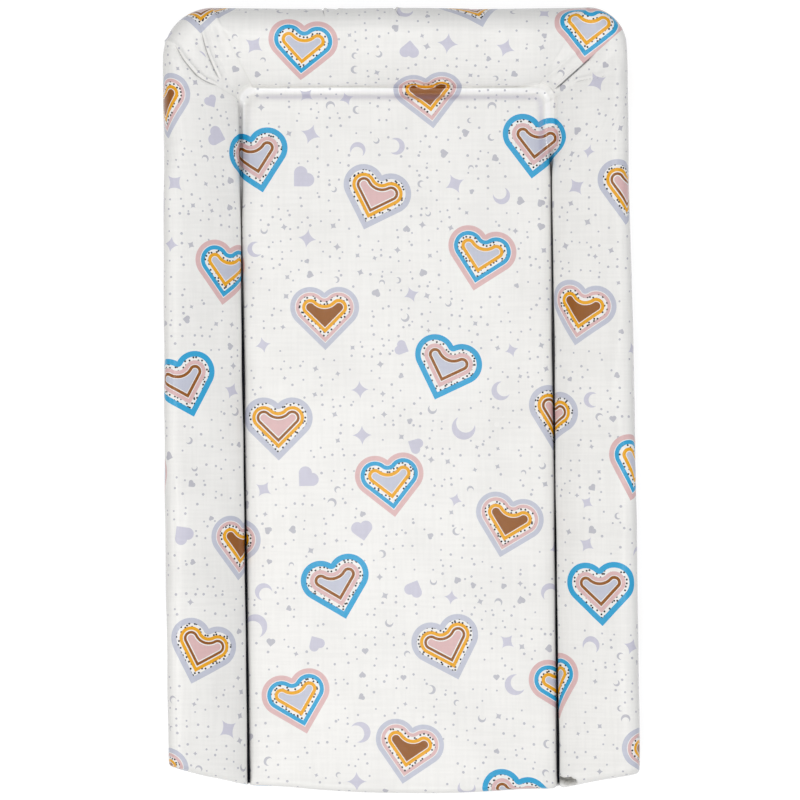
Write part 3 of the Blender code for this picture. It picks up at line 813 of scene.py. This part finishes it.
faces, film_map, seam_map, strip_map = whole_faces(
    np.concatenate([cells, inner_cells]),
    np.concatenate([film_cells, film_inner_cells]),
    np.concatenate([seam_rim, seam_inner]),
    np.concatenate([strip_rim, np.zeros(seam_inner.shape)]),
)
maps = (("film", film_map), ("seams", seam_map), ("strips", strip_map))
cover = new_piece("cover", as_laid(points), faces, maps)
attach(cover, "root")
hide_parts("top_cover")
print("cover piece:", len(cover.data.vertices), "points,", len(cover.data.polygons), "faces")

# %% [markdown]
# The other pieces keep the CAD model's shapes, laid in the same way as the cover. What lies
# inside the cover is drawn in wherever the film comes closer than a small gap, so that
# nothing pokes through it. The film without its folds says which side is inside, and the
# gap of the foams is wider than the deepest fold. They could be modelled anew, but the CAD
# solids already have the right seats and sizes.

# %% Copies of the CAD nodes
surface_tree = BVHTree.FromObject(cover, bpy.context.evaluated_depsgraph_get())
even_points = as_laid(np.concatenate([inner_grid.reshape(-1, 3), rim_grid[:, 1:].reshape(-1, 3)]))
even_tree = BVHTree.FromPolygons(even_points.tolist(), faces)
SLOT_OF = {
    "foam": ("pad_foam", "left_bolster_foam", "right_bolster_foam", "head_bolster_foam"),
    "plain_film": ("back_cover",),
    "fused_film": (
        "rim_weld", "left_crease_weld", "right_crease_weld", "head_crease_weld",
        "left_corner_tuck", "right_corner_tuck",
    ),
}


def copy_of(node):
    """A copy of a CAD node, laid as the mat lies, which stands for it."""
    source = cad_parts[node]
    made = source.copy()
    made.data = source.data.copy()
    made.name = node + "_dressed"
    made.parent = None
    made.matrix_world = source.matrix_world.copy()
    scene.collection.objects.link(made)
    made.data.transform(made.matrix_world)
    made.matrix_world.identity()
    bm = bmesh.new()
    bm.from_mesh(made.data)
    bmesh.ops.remove_doubles(bm, verts=bm.verts, dist=1e-6)
    bm.to_mesh(made.data)
    bm.free()
    places = as_laid([v.co for v in made.data.vertices])
    made.data.vertices.foreach_set("co", places.ravel())
    made.data.update()
    return made


print("film to keep under:", len(even_points), "points")

# %% Keep the inside under the film
FOAM_GAP = 3.0 * MM
WELD_GAP = 0.4 * MM
LONGEST_EDGE = 11 * MM
FLOOR_GAP = 2 * MM
# Points as low as this keep their height
HELD_HEIGHT = 6 * MM


def film_above(place):
    """Height of the lowest film over a place and its near surroundings."""
    down, heights = Vector((0, 0, -1)), []
    for dx, dy in ((0, 0), (4, 0), (-4, 0), (0, 4), (0, -4)):
        start = Vector((place.x + dx * MM, place.y + dy * MM, 0.2))
        above, _, _, _ = surface_tree.ray_cast(start, down)
        heights.append(above.z if above else 1.0)
    return min(heights)


def keep_under_film(piece, gap):
    """Draws a piece in where it comes closer to the even film than the gap, or outside it."""
    bm = bmesh.new()
    bm.from_mesh(piece.data)
    for _ in range(6):
        long_edges = [e for e in bm.edges if e.calc_length() > LONGEST_EDGE]
        bmesh.ops.subdivide_edges(bm, edges=long_edges, cuts=1, use_grid_fill=True)
    for vertex in bm.verts:
        for _ in range(3):
            near, normal, _, _ = even_tree.find_nearest(vertex.co)
            short = max(0, gap - (near - vertex.co).dot(normal))
            inward = vertex.co - normal * short
            vertex.co.x, vertex.co.y = inward.x, inward.y
            if vertex.co.z > HELD_HEIGHT:
                vertex.co.z = max(inward.z, FLOOR_GAP)
        vertex.co.z = min(vertex.co.z, max(film_above(vertex.co) - gap, FLOOR_GAP))
    bm.to_mesh(piece.data)
    bm.free()
    piece.data.update()


print("foams keep", FOAM_GAP, "m under the film, welds and tucks", WELD_GAP, "m")

# %% Dress the other nodes
dressed = {}
for slot, nodes in SLOT_OF.items():
    for node in nodes:
        piece = dressed[node] = copy_of(node)
        if slot == "foam":
            keep_under_film(piece, FOAM_GAP)
        elif node.endswith(("crease_weld", "tuck")):
            keep_under_film(piece, WELD_GAP)
        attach(piece, "root")
        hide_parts(node)
print("dressed:", ", ".join(dressed))

# %% [markdown]
# Materials are written as sums and products of signals, each of which is a value in a node
# tree. This small helper adds the node for each step.

# %% A signal in a node tree
class Signal:
    """A value in a node tree. Arithmetic on it adds the nodes."""

    def __init__(self, tree, socket):
        self.tree, self.socket = tree, socket

    def step(self, operation, *others):
        return math_node(self.tree, operation, self, *others)

    def __add__(self, other):
        return self.step("ADD", other)

    def __sub__(self, other):
        return self.step("SUBTRACT", other)

    def __mul__(self, other):
        return self.step("MULTIPLY", other)

    def __truediv__(self, other):
        return self.step("DIVIDE", other)

    def __lt__(self, other):
        return self.step("LESS_THAN", other)

    def __gt__(self, other):
        return self.step("GREATER_THAN", other)

    def __neg__(self):
        return self * -1.0

    def __abs__(self):
        return self.step("ABSOLUTE")

    def rises(self, low, high):
        """From 0 at low to 1 at high, eased."""
        made = add_node(self.tree, "ShaderNodeMapRange", {0: self, 1: low, 2: high})
        made.interpolation_type = "SMOOTHSTEP"
        return Signal(self.tree, made.outputs[0])


print("a signal can be", ", ".join(name for name in vars(Signal) if name[0] != "_"))


# %% Helpers that add nodes
def feed(tree, socket, value):
    """Links a signal to a socket, or sets the socket to a plain value."""
    if isinstance(value, Signal):
        tree.links.new(value.socket, socket)
    else:
        socket.default_value = value


def add_node(tree, kind, inputs=None, **settings):
    """Adds a node with its settings and inputs."""
    made = tree.nodes.new(kind)
    for name, value in settings.items():
        setattr(made, name, value)
    for key, value in (inputs or {}).items():
        feed(tree, made.inputs[key], value)
    return made


def math_node(tree, operation, *values):
    """The result of one step of arithmetic."""
    made = add_node(tree, "ShaderNodeMath", dict(enumerate(values)), operation=operation)
    return Signal(tree, made.outputs[0])


def out(node, name=0):
    """One output of a node as a signal."""
    return Signal(node.id_data, node.outputs[name])


def split(tree, vector):
    """X and Y of a vector."""
    made = add_node(tree, "ShaderNodeSeparateXYZ", {0: vector})
    return out(made, "X"), out(made, "Y")


def parted(tree, color):
    """Red, green and blue of a colour."""
    made = add_node(tree, "ShaderNodeSeparateColor", {0: color})
    return [Signal(tree, socket) for socket in made.outputs]


def joined(tree, x, y):
    """A vector from X and Y."""
    return out(add_node(tree, "ShaderNodeCombineXYZ", {"X": x, "Y": y}))


def turned(tree, vector, angle):
    """A vector turned about Z."""
    settings = {"rotation_type": "Z_AXIS"}
    return out(add_node(tree, "ShaderNodeVectorRotate", {"Vector": vector, "Angle": angle}, **settings))


def vector_node(tree, operation, *values):
    """The result of one step of arithmetic on vectors."""
    made = add_node(tree, "ShaderNodeVectorMath", dict(enumerate(values)), operation=operation)
    lengths = ("LENGTH", "DISTANCE", "DOT_PRODUCT")
    return out(made, "Value" if operation in lengths else "Vector")


def resized(tree, vector, factor):
    """A vector times a factor."""
    inputs = {0: vector, "Scale": factor}
    return out(add_node(tree, "ShaderNodeVectorMath", inputs, operation="SCALE"), "Vector")


def mixed(tree, share, first, second):
    """A colour between two colours."""
    made = add_node(tree, "ShaderNodeMix", {0: share, 6: first, 7: second}, data_type="RGBA")
    return Signal(tree, made.outputs[2])


def bumped(tree, strength, distance, height):
    """A normal bent by a height."""
    inputs = {"Strength": strength, "Distance": distance, "Height": height}
    return out(add_node(tree, "ShaderNodeBump", inputs))


print("node helpers ready")


# %% Helpers for groups and materials
def new_group(name, inputs, outputs):
    """An empty node group with its inputs and outputs, each a name and a kind."""
    tree = bpy.data.node_groups.new(name, "ShaderNodeTree")
    for sockets, direction in ((inputs, "INPUT"), (outputs, "OUTPUT")):
        for socket_name, kind in sockets:
            tree.interface.new_socket(socket_name, in_out=direction, socket_type="NodeSocket" + kind)
    start, end = tree.nodes.new("NodeGroupInput"), tree.nodes.new("NodeGroupOutput")
    return tree, [out(start, name) for name, _ in inputs], end


def use_group(tree, group, inputs):
    """A node that uses a group."""
    made = tree.nodes.new("ShaderNodeGroup")
    made.node_tree = group
    for name, value in inputs.items():
        feed(tree, made.inputs[name], value)
    return made


def new_material(name, **settings):
    """A material with one shader, whose plain sockets are set by name."""
    made = bpy.data.materials.new(name)
    made.use_nodes = True
    tree = made.node_tree
    shader = tree.nodes["Principled BSDF"]
    for key, value in settings.items():
        shader.inputs[key.replace("_", " ").title().replace("Ior", "IOR")].default_value = value
    return made, tree, shader


def give_finish(tree, shader, color, roughness, normal):
    """Feeds a shader its colour, its roughness and its bent normal."""
    for name, value in (("Base Color", color), ("Roughness", roughness), ("Normal", normal)):
        feed(tree, shader.inputs[name], value)


print("group and material helpers ready")

# %% [markdown]
# The print has three layers, all drawn by formula on the film's own map, in metres. Banded
# hearts in the four colourways lie on a slanted lattice, each a little out of place and
# tilted. Small pale motifs and dots are scattered between them and keep clear of them. A
# picture would be easier to place, but a formula stays sharp however near the camera is.

# %% Colours of the print
BLUE = (0.022, 0.375, 0.680, 1)
MUSTARD = (0.860, 0.395, 0.001, 1)
BROWN = (0.290, 0.090, 0.002, 1)
PINK = (0.740, 0.490, 0.490, 1)
LILAC = (0.560, 0.580, 0.680, 1)
SPECK = (0.010, 0.012, 0.020, 1)
FILM = (0.900, 0.893, 0.870, 1)
HEART_CELL = 0.124
HEART_UNIT = 0.0575
HEART_MIDDLE = (0.0, 0.56, 0.0)
HEART_SLANT = math.radians(24)
HEART_TILT = math.radians(40)
HEART_LOOSENESS = 0.13
LATTICE_START = (0.31, 0.12, 0.0)
SPECK_SPACING = 0.0040
WAYS = (
    # where each band starts, in mm in from the outline, and its colour
    ((0, BLUE), (5.4, FILM), (9.2, PINK), (12.8, FILM), (13.7, BROWN), (16.6, FILM), (17.5, LILAC)),
    ((0, LILAC), (5.4, FILM), (8.6, MUSTARD), (12.0, FILM), (12.8, BROWN), (15.7, FILM), (16.6, PINK)),
    ((0, PINK), (4.8, FILM), (5.6, BLUE), (9.6, FILM), (12.8, MUSTARD), (16.2, FILM), (17.2, LILAC)),
    ((0, LILAC), (4.6, FILM), (5.4, PINK), (8.8, FILM), (11.8, MUSTARD), (15.2, FILM), (16.0, BROWN)),
)
# The middle of each colourway's speckled band and the depth of a heart, in mm
SPECKLED = (7.3, 7.0, 11.2, 10.3)
DEEPEST = 24.0
print(len(WAYS), "colourways of", len(WAYS[0]), "bands")


# %% A heart by formula
def heart_group():
    """Signed distance from a heart whose tip is at the origin and whose notch is at (0, 1)."""
    tree, (place,), end = new_group("heart", [("Place", "Vector")], [("Distance", "Float")])
    x, y = split(tree, place)
    x = abs(x)
    lobe = math_node(tree, "SQRT", (x - 0.25) * (x - 0.25) + (y - 0.75) * (y - 0.75)) - 0.35355
    fold = (x + y).step("MAXIMUM", 0.0) * 0.5
    notch = x * x + (y - 1.0) * (y - 1.0)
    edge = (x - fold) * (x - fold) + (y - fold) * (y - fold)
    side = math_node(tree, "SQRT", notch.step("MINIMUM", edge)) * (x - y).step("SIGN")
    feed(tree, end.inputs[0], side + (lobe - side) * (x + y > 1.0))
    return tree


heart = heart_group()
print("heart group:", len(heart.nodes), "nodes")


# %% The lattice of hearts
def lattice_group():
    """The nearest heart: the place seen from it, in metres, and which colourway it has."""
    outputs = [("Local", "Vector"), ("Way", "Float")]
    tree, (place,), end = new_group("heart lattice", [("Place", "Vector")], outputs)
    scaled = resized(tree, turned(tree, place, HEART_SLANT), 1 / HEART_CELL)
    scaled = vector_node(tree, "ADD", scaled, LATTICE_START)
    cell = vector_node(tree, "FLOOR", scaled)
    middle = vector_node(tree, "SUBTRACT", vector_node(tree, "FRACTION", scaled), (0.5, 0.5, 0.0))
    chance = add_node(tree, "ShaderNodeTexWhiteNoise", {"Vector": cell}, noise_dimensions="2D")
    red, green, blue = parted(tree, out(chance, "Color"))
    jitter = joined(tree, (red - 0.5) * HEART_LOOSENESS, (green - 0.5) * HEART_LOOSENESS)
    local = resized(tree, vector_node(tree, "SUBTRACT", middle, jitter), HEART_CELL)
    local = turned(tree, local, (blue - 0.5) * HEART_TILT - HEART_SLANT)
    feed(tree, end.inputs["Local"], local)
    across, up = split(tree, cell)
    feed(tree, end.inputs["Way"], (across + up * 2.0 + 40.0).step("MODULO", 4.0))
    return tree


lattice = lattice_group()
print("lattice group:", len(lattice.nodes), "nodes")


# %% Banded hearts
def stepped_ramp(tree, stops, value):
    """A colour ramp with sharp steps."""
    made = add_node(tree, "ShaderNodeValToRGB", {0: value})
    made.color_ramp.interpolation = "CONSTANT"
    elements = made.color_ramp.elements
    for number, (position, color) in enumerate(stops):
        stop = elements[number] if number < 2 else elements.new(position)
        stop.position, stop.color = position, color
    return out(made)


def banded_hearts_group(heart, lattice):
    """Colour and mask of the banded hearts."""
    outputs = [("Color", "Color"), ("Mask", "Float")]
    tree, (place,), end = new_group("banded hearts", [("Place", "Vector")], outputs)
    nearest = use_group(tree, lattice, {"Place": place})
    unit = resized(tree, out(nearest, "Local"), 1 / HEART_UNIT)
    unit = vector_node(tree, "ADD", unit, HEART_MIDDLE)
    distance = out(use_group(tree, heart, {"Place": unit})) * HEART_UNIT
    depth = (-distance / (DEEPEST * MM)).step("MAXIMUM", 0.0).step("MINIMUM", 0.999)
    way = out(nearest, "Way")
    stops = [
        ((number + edge / DEEPEST) / 4, color)
        for number, bands in enumerate(WAYS) for edge, color in bands
    ]
    banded = stepped_ramp(tree, stops, (way + depth) / 4.0)
    greys = [(n / 4, (m / 16, m / 16, m / 16, 1)) for n, m in enumerate(SPECKLED)]
    middles = stepped_ramp(tree, greys, (way + 0.5) / 4.0)
    inputs = {"Vector": place, "Scale": 1 / SPECK_SPACING, "Randomness": 0.8}
    specks = add_node(tree, "ShaderNodeTexVoronoi", inputs, voronoi_dimensions="2D")
    in_band = abs(depth * DEEPEST - middles * 16.0) < 1.9
    dark = (out(specks, "Distance") < 0.25) * in_band
    feed(tree, end.inputs["Color"], mixed(tree, dark, banded, SPECK))
    feed(tree, end.inputs["Mask"], distance < 0.0)
    return tree


hearts = banded_hearts_group(heart, lattice)
print("banded hearts group:", len(hearts.nodes), "nodes")

# %% [markdown]
# Between the hearts the film has small pale sparkles, crescents and hearts in two sizes, and
# dots. They could be placed one by one, but a cell texture scatters any number of them: it
# gives the nearest point of a loose lattice, and each motif is a formula about its point. A
# motif that would touch a larger one is left out.

# %% Where the small motifs lie
FULL_TURN = 6.283
# How far the small motifs keep from the middle of a heart, and from each other
HEART_REACH = 0.037
MOTIF_GAP = 0.0012


def motif_group(lattice):
    """The nearest small motif: the place seen from it, its size, and chance values."""
    inputs = [("Place", "Vector"), ("Cell", "Float"), ("Loose", "Float"), ("Shown", "Float")]
    inputs += [("Least", "Float"), ("Most", "Float")]
    outputs = [("Local", "Vector"), ("Centre", "Vector")]
    outputs += [(name, "Float") for name in ("Size", "Chance", "Shown")]
    tree, (place, cell, loose, shown, least, most), end = new_group("small motif", inputs, outputs)
    scaled = resized(tree, place, math_node(tree, "DIVIDE", 1.0, cell))
    cells = {"Vector": scaled, "Scale": 1.0, "Randomness": loose}
    voronoi = add_node(tree, "ShaderNodeTexVoronoi", cells, voronoi_dimensions="2D")
    centre = resized(tree, out(voronoi, "Position"), cell)
    red, green, blue = parted(tree, out(voronoi, "Color"))
    size = least + (most - least) * green
    local = turned(tree, vector_node(tree, "SUBTRACT", place, centre), blue * FULL_TURN)
    nearest = use_group(tree, lattice, {"Place": centre})
    clear = vector_node(tree, "LENGTH", out(nearest, "Local")) > size + HEART_REACH
    chance = (red * 31.7).step("FRACT")
    for name, value in zip(("Local", "Centre", "Size", "Chance"), (local, centre, size, chance)):
        feed(tree, end.inputs[name], value)
    feed(tree, end.inputs["Shown"], clear * (red < shown))
    return tree


motif = motif_group(lattice)
print("motif group:", len(motif.nodes), "nodes")


# %% The shapes of the small motifs
def shape_group(heart):
    """Mask of a sparkle, a crescent or a small heart."""
    inputs = [("Local", "Vector"), ("Size", "Float"), ("Chance", "Float")]
    tree, (local, size, kind), end = new_group("small shape", inputs, [("Mask", "Float")])
    scaled = resized(tree, local, math_node(tree, "DIVIDE", 1.0, size))
    x, y = split(tree, scaled)
    disc = vector_node(tree, "LENGTH", scaled) < 1.0
    bite = vector_node(tree, "DISTANCE", scaled, (0.42, 0.1, 0.0)) > 0.80
    sparkle = (abs(x).step("POWER", 0.62) + abs(y).step("POWER", 0.62)) < 1.0
    unit = vector_node(tree, "MULTIPLY", scaled, (0.62, 0.62, 0.0))
    unit = vector_node(tree, "ADD", unit, HEART_MIDDLE)
    small_heart = out(use_group(tree, heart, {"Place": unit})) < 0.0
    shape = sparkle + (disc * bite - sparkle) * (kind > 0.45)
    shape = shape + (small_heart - shape) * (kind > 0.72)
    feed(tree, end.inputs["Mask"], shape)
    return tree


shape = shape_group(heart)
print("shape group:", len(shape.nodes), "nodes")

# %% Scatter the small motifs
LARGE = {"Cell": 0.050, "Loose": 0.50, "Shown": 0.60, "Least": 0.0070, "Most": 0.0120}
SMALL = {"Cell": 0.0235, "Loose": 0.70, "Shown": 0.62, "Least": 0.0026, "Most": 0.0046}
DOTS = {"Cell": 0.0100, "Loose": 0.85, "Shown": 0.62, "Least": 0.0009, "Most": 0.0014}


def scatter_group(motif, shape):
    """Masks of the large and of the small pale motifs, which keep clear of each other."""
    outputs = [("Large", "Float"), ("Small", "Float")]
    tree, (place,), end = new_group("scatter", [("Place", "Vector")], outputs)

    def nearest(at, facts):
        return use_group(tree, motif, {"Place": at, **facts})

    def clear_of(node, others):
        """1 where a motif's centre is far enough from the nearest one of a larger kind."""
        near = nearest(out(node, "Centre"), others)
        away = vector_node(tree, "LENGTH", out(near, "Local"))
        apart = away > out(near, "Size") + out(node, "Size") + MOTIF_GAP
        return apart.step("MAXIMUM", (out(near, "Shown") < 0.5))

    large, small, dot = (nearest(place, facts) for facts in (LARGE, SMALL, DOTS))
    shapes = [
        out(use_group(tree, shape, {key: out(node, key) for key in ("Local", "Size", "Chance")}))
        for node in (large, small)
    ]
    round_dot = vector_node(tree, "LENGTH", out(dot, "Local")) < out(dot, "Size")
    small_mask = shapes[1] * out(small, "Shown") * clear_of(small, LARGE)
    dot_mask = round_dot * out(dot, "Shown") * clear_of(dot, LARGE) * clear_of(dot, SMALL)
    feed(tree, end.inputs["Large"], shapes[0] * out(large, "Shown"))
    feed(tree, end.inputs["Small"], small_mask.step("MAXIMUM", dot_mask))
    return tree


scatter = scatter_group(motif, shape)
print("scatter group:", len(scatter.nodes), "nodes")

# %% [markdown]
# The film is soft vinyl with a very fine linen embossing on both faces. Threads this fine
# could only be geometry on a far heavier mesh, so they are a bump. Cover, back and welds all
# use the group, which gives its height and a slower unevenness of the gloss.

# %% Group for the film's embossing
THREAD_PITCH = 0.0011


def emboss_group():
    """Height of the linen embossing, a slow variation, and the threads that stand out."""
    tree, (place,), end = new_group(
        "film embossing", [("Place", "Vector")],
        [("Height", "Float"), ("Variation", "Float"), ("Weave", "Float")],
    )
    x, y = split(tree, place)
    pitch = 2 * math.pi / THREAD_PITCH
    threads = math_node(tree, "SINE", x * pitch) + math_node(tree, "SINE", y * pitch)
    broken = add_node(tree, "ShaderNodeTexNoise", {"Vector": place, "Scale": 420.0, "Detail": 2.0})
    slow = add_node(tree, "ShaderNodeTexNoise", {"Vector": place, "Scale": 14.0, "Detail": 3.0})
    feed(tree, end.inputs["Height"], threads * 0.25 + out(broken, 0))
    feed(tree, end.inputs["Variation"], out(slow, 0))
    crossing = []
    for stretch in ((0.06, 1.0, 1.0), (1.0, 0.06, 1.0)):
        along = vector_node(tree, "MULTIPLY", place, stretch)
        noise = {"Vector": along, "Scale": 330.0, "Detail": 1.0}
        crossing.append(out(add_node(tree, "ShaderNodeTexNoise", noise)))
    feed(tree, end.inputs["Weave"], crossing[0] + crossing[1] - 0.5)
    return tree


emboss = emboss_group()
print("embossing group:", len(emboss.nodes), "nodes")

# %% [markdown]
# The printed film is white vinyl, half glossy, and its inks lie flush with it. The colours
# are laid over each other as in a real print: the white, the pale motifs, the hearts. A
# picture or painted colours could do it, but the groups above stay sharp. Over the print
# comes painted shade: the second map darkens the line of a closed crease, the right tuck
# and the deepest folds, and the third darkens the groove beside a weld strip and the
# folded-under end of the right pocket. The strip of a weld is glossier, and is also
# painted whiter as a painted highlight.

# %% Printed film
PALE_INK = (0.590, 0.580, 0.700, 1)
GREY_INK = (0.500, 0.500, 0.560, 1)
# Colours of painted shade: in closed creases, the tuck and folds, under the folded pocket end, and in the
# groove beside a weld strip
DEEP_SHADE = (0.006, 0.008, 0.026, 1)
UNDER_SHADE = (0.10, 0.10, 0.08, 1)
GROOVE_SHADE = (0.50, 0.46, 0.66, 1)


def printed_film():
    """White vinyl with its print, the glossy strip of a weld painted whiter as a painted highlight, and
    painted shade in its creases, tuck, folds, weld grooves and folded pocket end.
    """
    made, tree, shader = new_material("printed film", Roughness=0.36, Ior=1.45)
    place = out(add_node(tree, "ShaderNodeUVMap", uv_map="film"))
    seams = out(add_node(tree, "ShaderNodeUVMap", uv_map="seams"))
    printed = use_group(tree, hearts, {"Place": place})
    small = use_group(tree, scatter, {"Place": place})
    surface = use_group(tree, emboss, {"Place": place})
    strip, folded_end_painted_shade = split(tree, out(add_node(tree, "ShaderNodeUVMap", uv_map="strips")))
    strip_gloss_and_painted_highlight, painted_groove_shade = strip.step("MAXIMUM", 0.0), (-strip).step("MAXIMUM", 0.0)
    # The strip of a weld is painted whiter, a painted highlight
    color = mixed(tree, strip_gloss_and_painted_highlight * 0.85, FILM, (1.0, 1.0, 1.0, 1.0))
    color = mixed(tree, out(small, "Large") * 0.9, color, PALE_INK)
    color = mixed(tree, out(small, "Small") * 0.9, color, GREY_INK)
    color = mixed(tree, out(printed, "Mask"), color, out(printed, "Color"))
    color = mixed(tree, out(surface, "Variation").rises(0.35, 0.75) * 0.05, color, SPECK)
    color = mixed(tree, out(surface, "Weave").rises(0.3, 0.7) * 0.035, color, SPECK)
    # Painted shade in the groove beside a weld strip
    color = mixed(tree, painted_groove_shade * 0.6, color, GROOVE_SHADE)
    # Painted shade on the folded-under end of the right pocket
    color = mixed(tree, folded_end_painted_shade * 0.45, color, UNDER_SHADE)
    # Painted shade along the line of a closed crease, the right tuck and the deepest folds
    across, dark = split(tree, seams)
    color = mixed(tree, across.rises(0.0011, 0.0005) * dark, color, DEEP_SHADE)
    feed(tree, shader.inputs["Coat Weight"], strip_gloss_and_painted_highlight * 0.5)
    roughness = out(surface, "Variation") * 0.10 + 0.20
    give_finish(tree, shader, color, roughness, bumped(tree, 0.3, 0.0002, out(surface, "Height")))
    return made


finishes = {"printed_film": printed_film()}
cover.data.materials.append(finishes["printed_film"])
print("the cover has its print")

# %% [markdown]
# The back is the same vinyl without a print. Where two films are fused, the welding bar
# leaves fine slanted ribs. The foam is cream and matt, with open pores. All three take
# their pattern from the object's own coordinates, since they need no place on a flat film,
# and a wave and a cell texture are enough for ribs and pores.

# %% Plain film, fused film and foam
RIB_PITCH = 0.0016


def plain_film():
    """Plain vinyl with the linen embossing."""
    made, tree, shader = new_material("plain film", Roughness=0.45, Ior=1.5)
    place = out(add_node(tree, "ShaderNodeTexCoord"), "Object")
    surface = use_group(tree, emboss, {"Place": place})
    color = mixed(tree, out(surface, "Variation"), (0.80, 0.80, 0.79, 1), (0.87, 0.87, 0.86, 1))
    roughness = out(surface, "Variation") * 0.15 + 0.38
    give_finish(tree, shader, color, roughness, bumped(tree, 0.35, 0.0002, out(surface, "Height")))
    return made


def fused_film():
    """Two films welded together, with the ribs of the welding bar."""
    made, tree, shader = new_material("fused film", Roughness=0.35, Ior=1.5)
    place = out(add_node(tree, "ShaderNodeTexCoord"), "Object")
    surface = use_group(tree, emboss, {"Place": place})
    x, y = split(tree, place)
    ribs = math_node(tree, "SINE", (x + y) * (2 * math.pi / RIB_PITCH))
    color = mixed(tree, ribs.rises(-1.0, 1.0) * 0.25, (0.84, 0.84, 0.83, 1), (0.74, 0.74, 0.74, 1))
    roughness = out(surface, "Variation") * 0.15 + 0.28
    give_finish(tree, shader, color, roughness, bumped(tree, 0.5, 0.0003, ribs))
    return made


def foam():
    """Cream foam with open pores."""
    made, tree, shader = new_material("foam", Roughness=0.95)
    place = out(add_node(tree, "ShaderNodeTexCoord"), "Object")
    pores = out(add_node(tree, "ShaderNodeTexVoronoi", {"Vector": place, "Scale": 700.0}), "Distance")
    color = mixed(tree, pores, (0.55, 0.52, 0.42, 1), (0.84, 0.80, 0.68, 1))
    give_finish(tree, shader, color, pores * 0.1 + 0.88, bumped(tree, 0.6, 0.0006, pores))
    return made


finishes.update(plain_film=plain_film(), fused_film=fused_film(), foam=foam())
for slot, nodes in SLOT_OF.items():
    for node in nodes:
        dressed[node].data.materials.clear()
        dressed[node].data.materials.append(finishes[slot])
print("materials:", ", ".join(m.name for m in finishes.values()))

# %% [markdown]
# The mat was photographed on white, in soft light from above and from the left. One large
# lamp would flatten the creases, so a low key lamp gives them relief, four higher ones fill
# in, and a dim sky lights the rest.

# %% Lamps
LAMP_COLOR = (1.0, 0.97, 0.92)
LAMPS = (
    # name, place, target, size and power
    ("key", (-1.29, -1.29, 0.81), (0, 0, 0), 0.5, 2.1),
    ("overhead", (-0.26, -0.48, 2.6), (0, -0.1, 0), 0.32, 6.4),
    ("head", (-0.02, 0.40, 2.6), (0, 0.1, 0), 0.32, 4.2),
    ("foot", (-0.3, -2.14, 2.08), (0, 0, 0), 0.56, 6.2),
    ("left", (-2.15, -0.19, 2.08), (0, 0, 0), 0.56, 5.0),
)


def add_lamp(name, place, target, size, power):
    """A square lamp that looks at its target."""
    light = bpy.data.lights.new(name, "AREA")
    light.color = LAMP_COLOR
    light.shape, light.size, light.energy = "SQUARE", size, power
    made = bpy.data.objects.new(name, light)
    made.location = place
    made.rotation_euler = (Vector(target) - Vector(place)).to_track_quat("-Z", "Y").to_euler()
    scene.collection.objects.link(made)


for facts in LAMPS:
    add_lamp(*facts)
print("lamps:", len(LAMPS))

# %% [markdown]
# The floor is a plain sheet of paper. Its own colour is grey, so that it throws little light
# back onto the mat, and it shines just enough for the camera and for reflections to see it
# pale. The sky is brighter above and a little brighter towards the foot on the right.

# %% Floor and sky
FLOOR_HALF = 6
FLOOR_GLOW = 0.80
SKY_AT_HORIZON, SKY_ABOVE = 0.39, 0.35
floor_mesh = bpy.data.meshes.new("floor")
floor_corners = [(-FLOOR_HALF, -FLOOR_HALF, 0), (FLOOR_HALF, -FLOOR_HALF, 0)]
floor_corners += [(FLOOR_HALF, FLOOR_HALF, 0), (-FLOOR_HALF, FLOOR_HALF, 0)]
floor_mesh.from_pydata(floor_corners, [], [(0, 1, 2, 3)])
floor = bpy.data.objects.new("floor", floor_mesh)
floor.location.z = -0.5 * MM
scene.collection.objects.link(floor)

paper, tree, shader = new_material("paper", Roughness=0.9)
shader.inputs["Base Color"].default_value = (0.3, 0.3, 0.3, 1)
light_path = add_node(tree, "ShaderNodeLightPath")
seen = out(light_path, "Is Camera Ray") + out(light_path, "Is Glossy Ray")
seen = (seen + out(light_path, "Is Transmission Ray")).step("MINIMUM", 1.0)
feed(tree, shader.inputs["Emission Color"], (1, 1, 1, 1))
feed(tree, shader.inputs["Emission Strength"], seen * FLOOR_GLOW)
floor_mesh.materials.append(paper)

world = bpy.data.worlds.new("studio")
scene.world = world
world.use_nodes = True
tree = world.node_tree
background = tree.nodes["Background"]
direction = out(add_node(tree, "ShaderNodeTexCoord"), "Generated")
height = out(add_node(tree, "ShaderNodeSeparateXYZ", {0: direction}), "Z")
toward = vector_node(tree, "DOT_PRODUCT", direction, (0.6, -0.5, 0.0))
dome = (height.rises(-0.1, 0.3) * SKY_ABOVE + SKY_AT_HORIZON) * (toward * 0.22 + 1.0)
feed(tree, background.inputs["Color"], (0.97, 0.98, 1.0, 1))
feed(tree, background.inputs["Strength"], dome)
print("floor and sky ready")

# %% [markdown]
# The photograph looks straight down from far away, so the mat's sides hardly show. A long
# lens high above gives the same view, and Blender's camera looks down when it isn't turned.

# %% Camera
CAMERA_LENS = 222.4
CAMERA_PLACE = (0.0006, 0.0018, 5.0)
camera_data = bpy.data.cameras.new("camera")
camera_data.lens = CAMERA_LENS
camera = bpy.data.objects.new("camera", camera_data)
camera.location = CAMERA_PLACE
scene.collection.objects.link(camera)
scene.camera = camera
scene.view_settings.view_transform = "Standard"
print("camera at", CAMERA_PLACE, "with a lens of", CAMERA_LENS, "mm")

# %% [markdown] That is the whole scene.
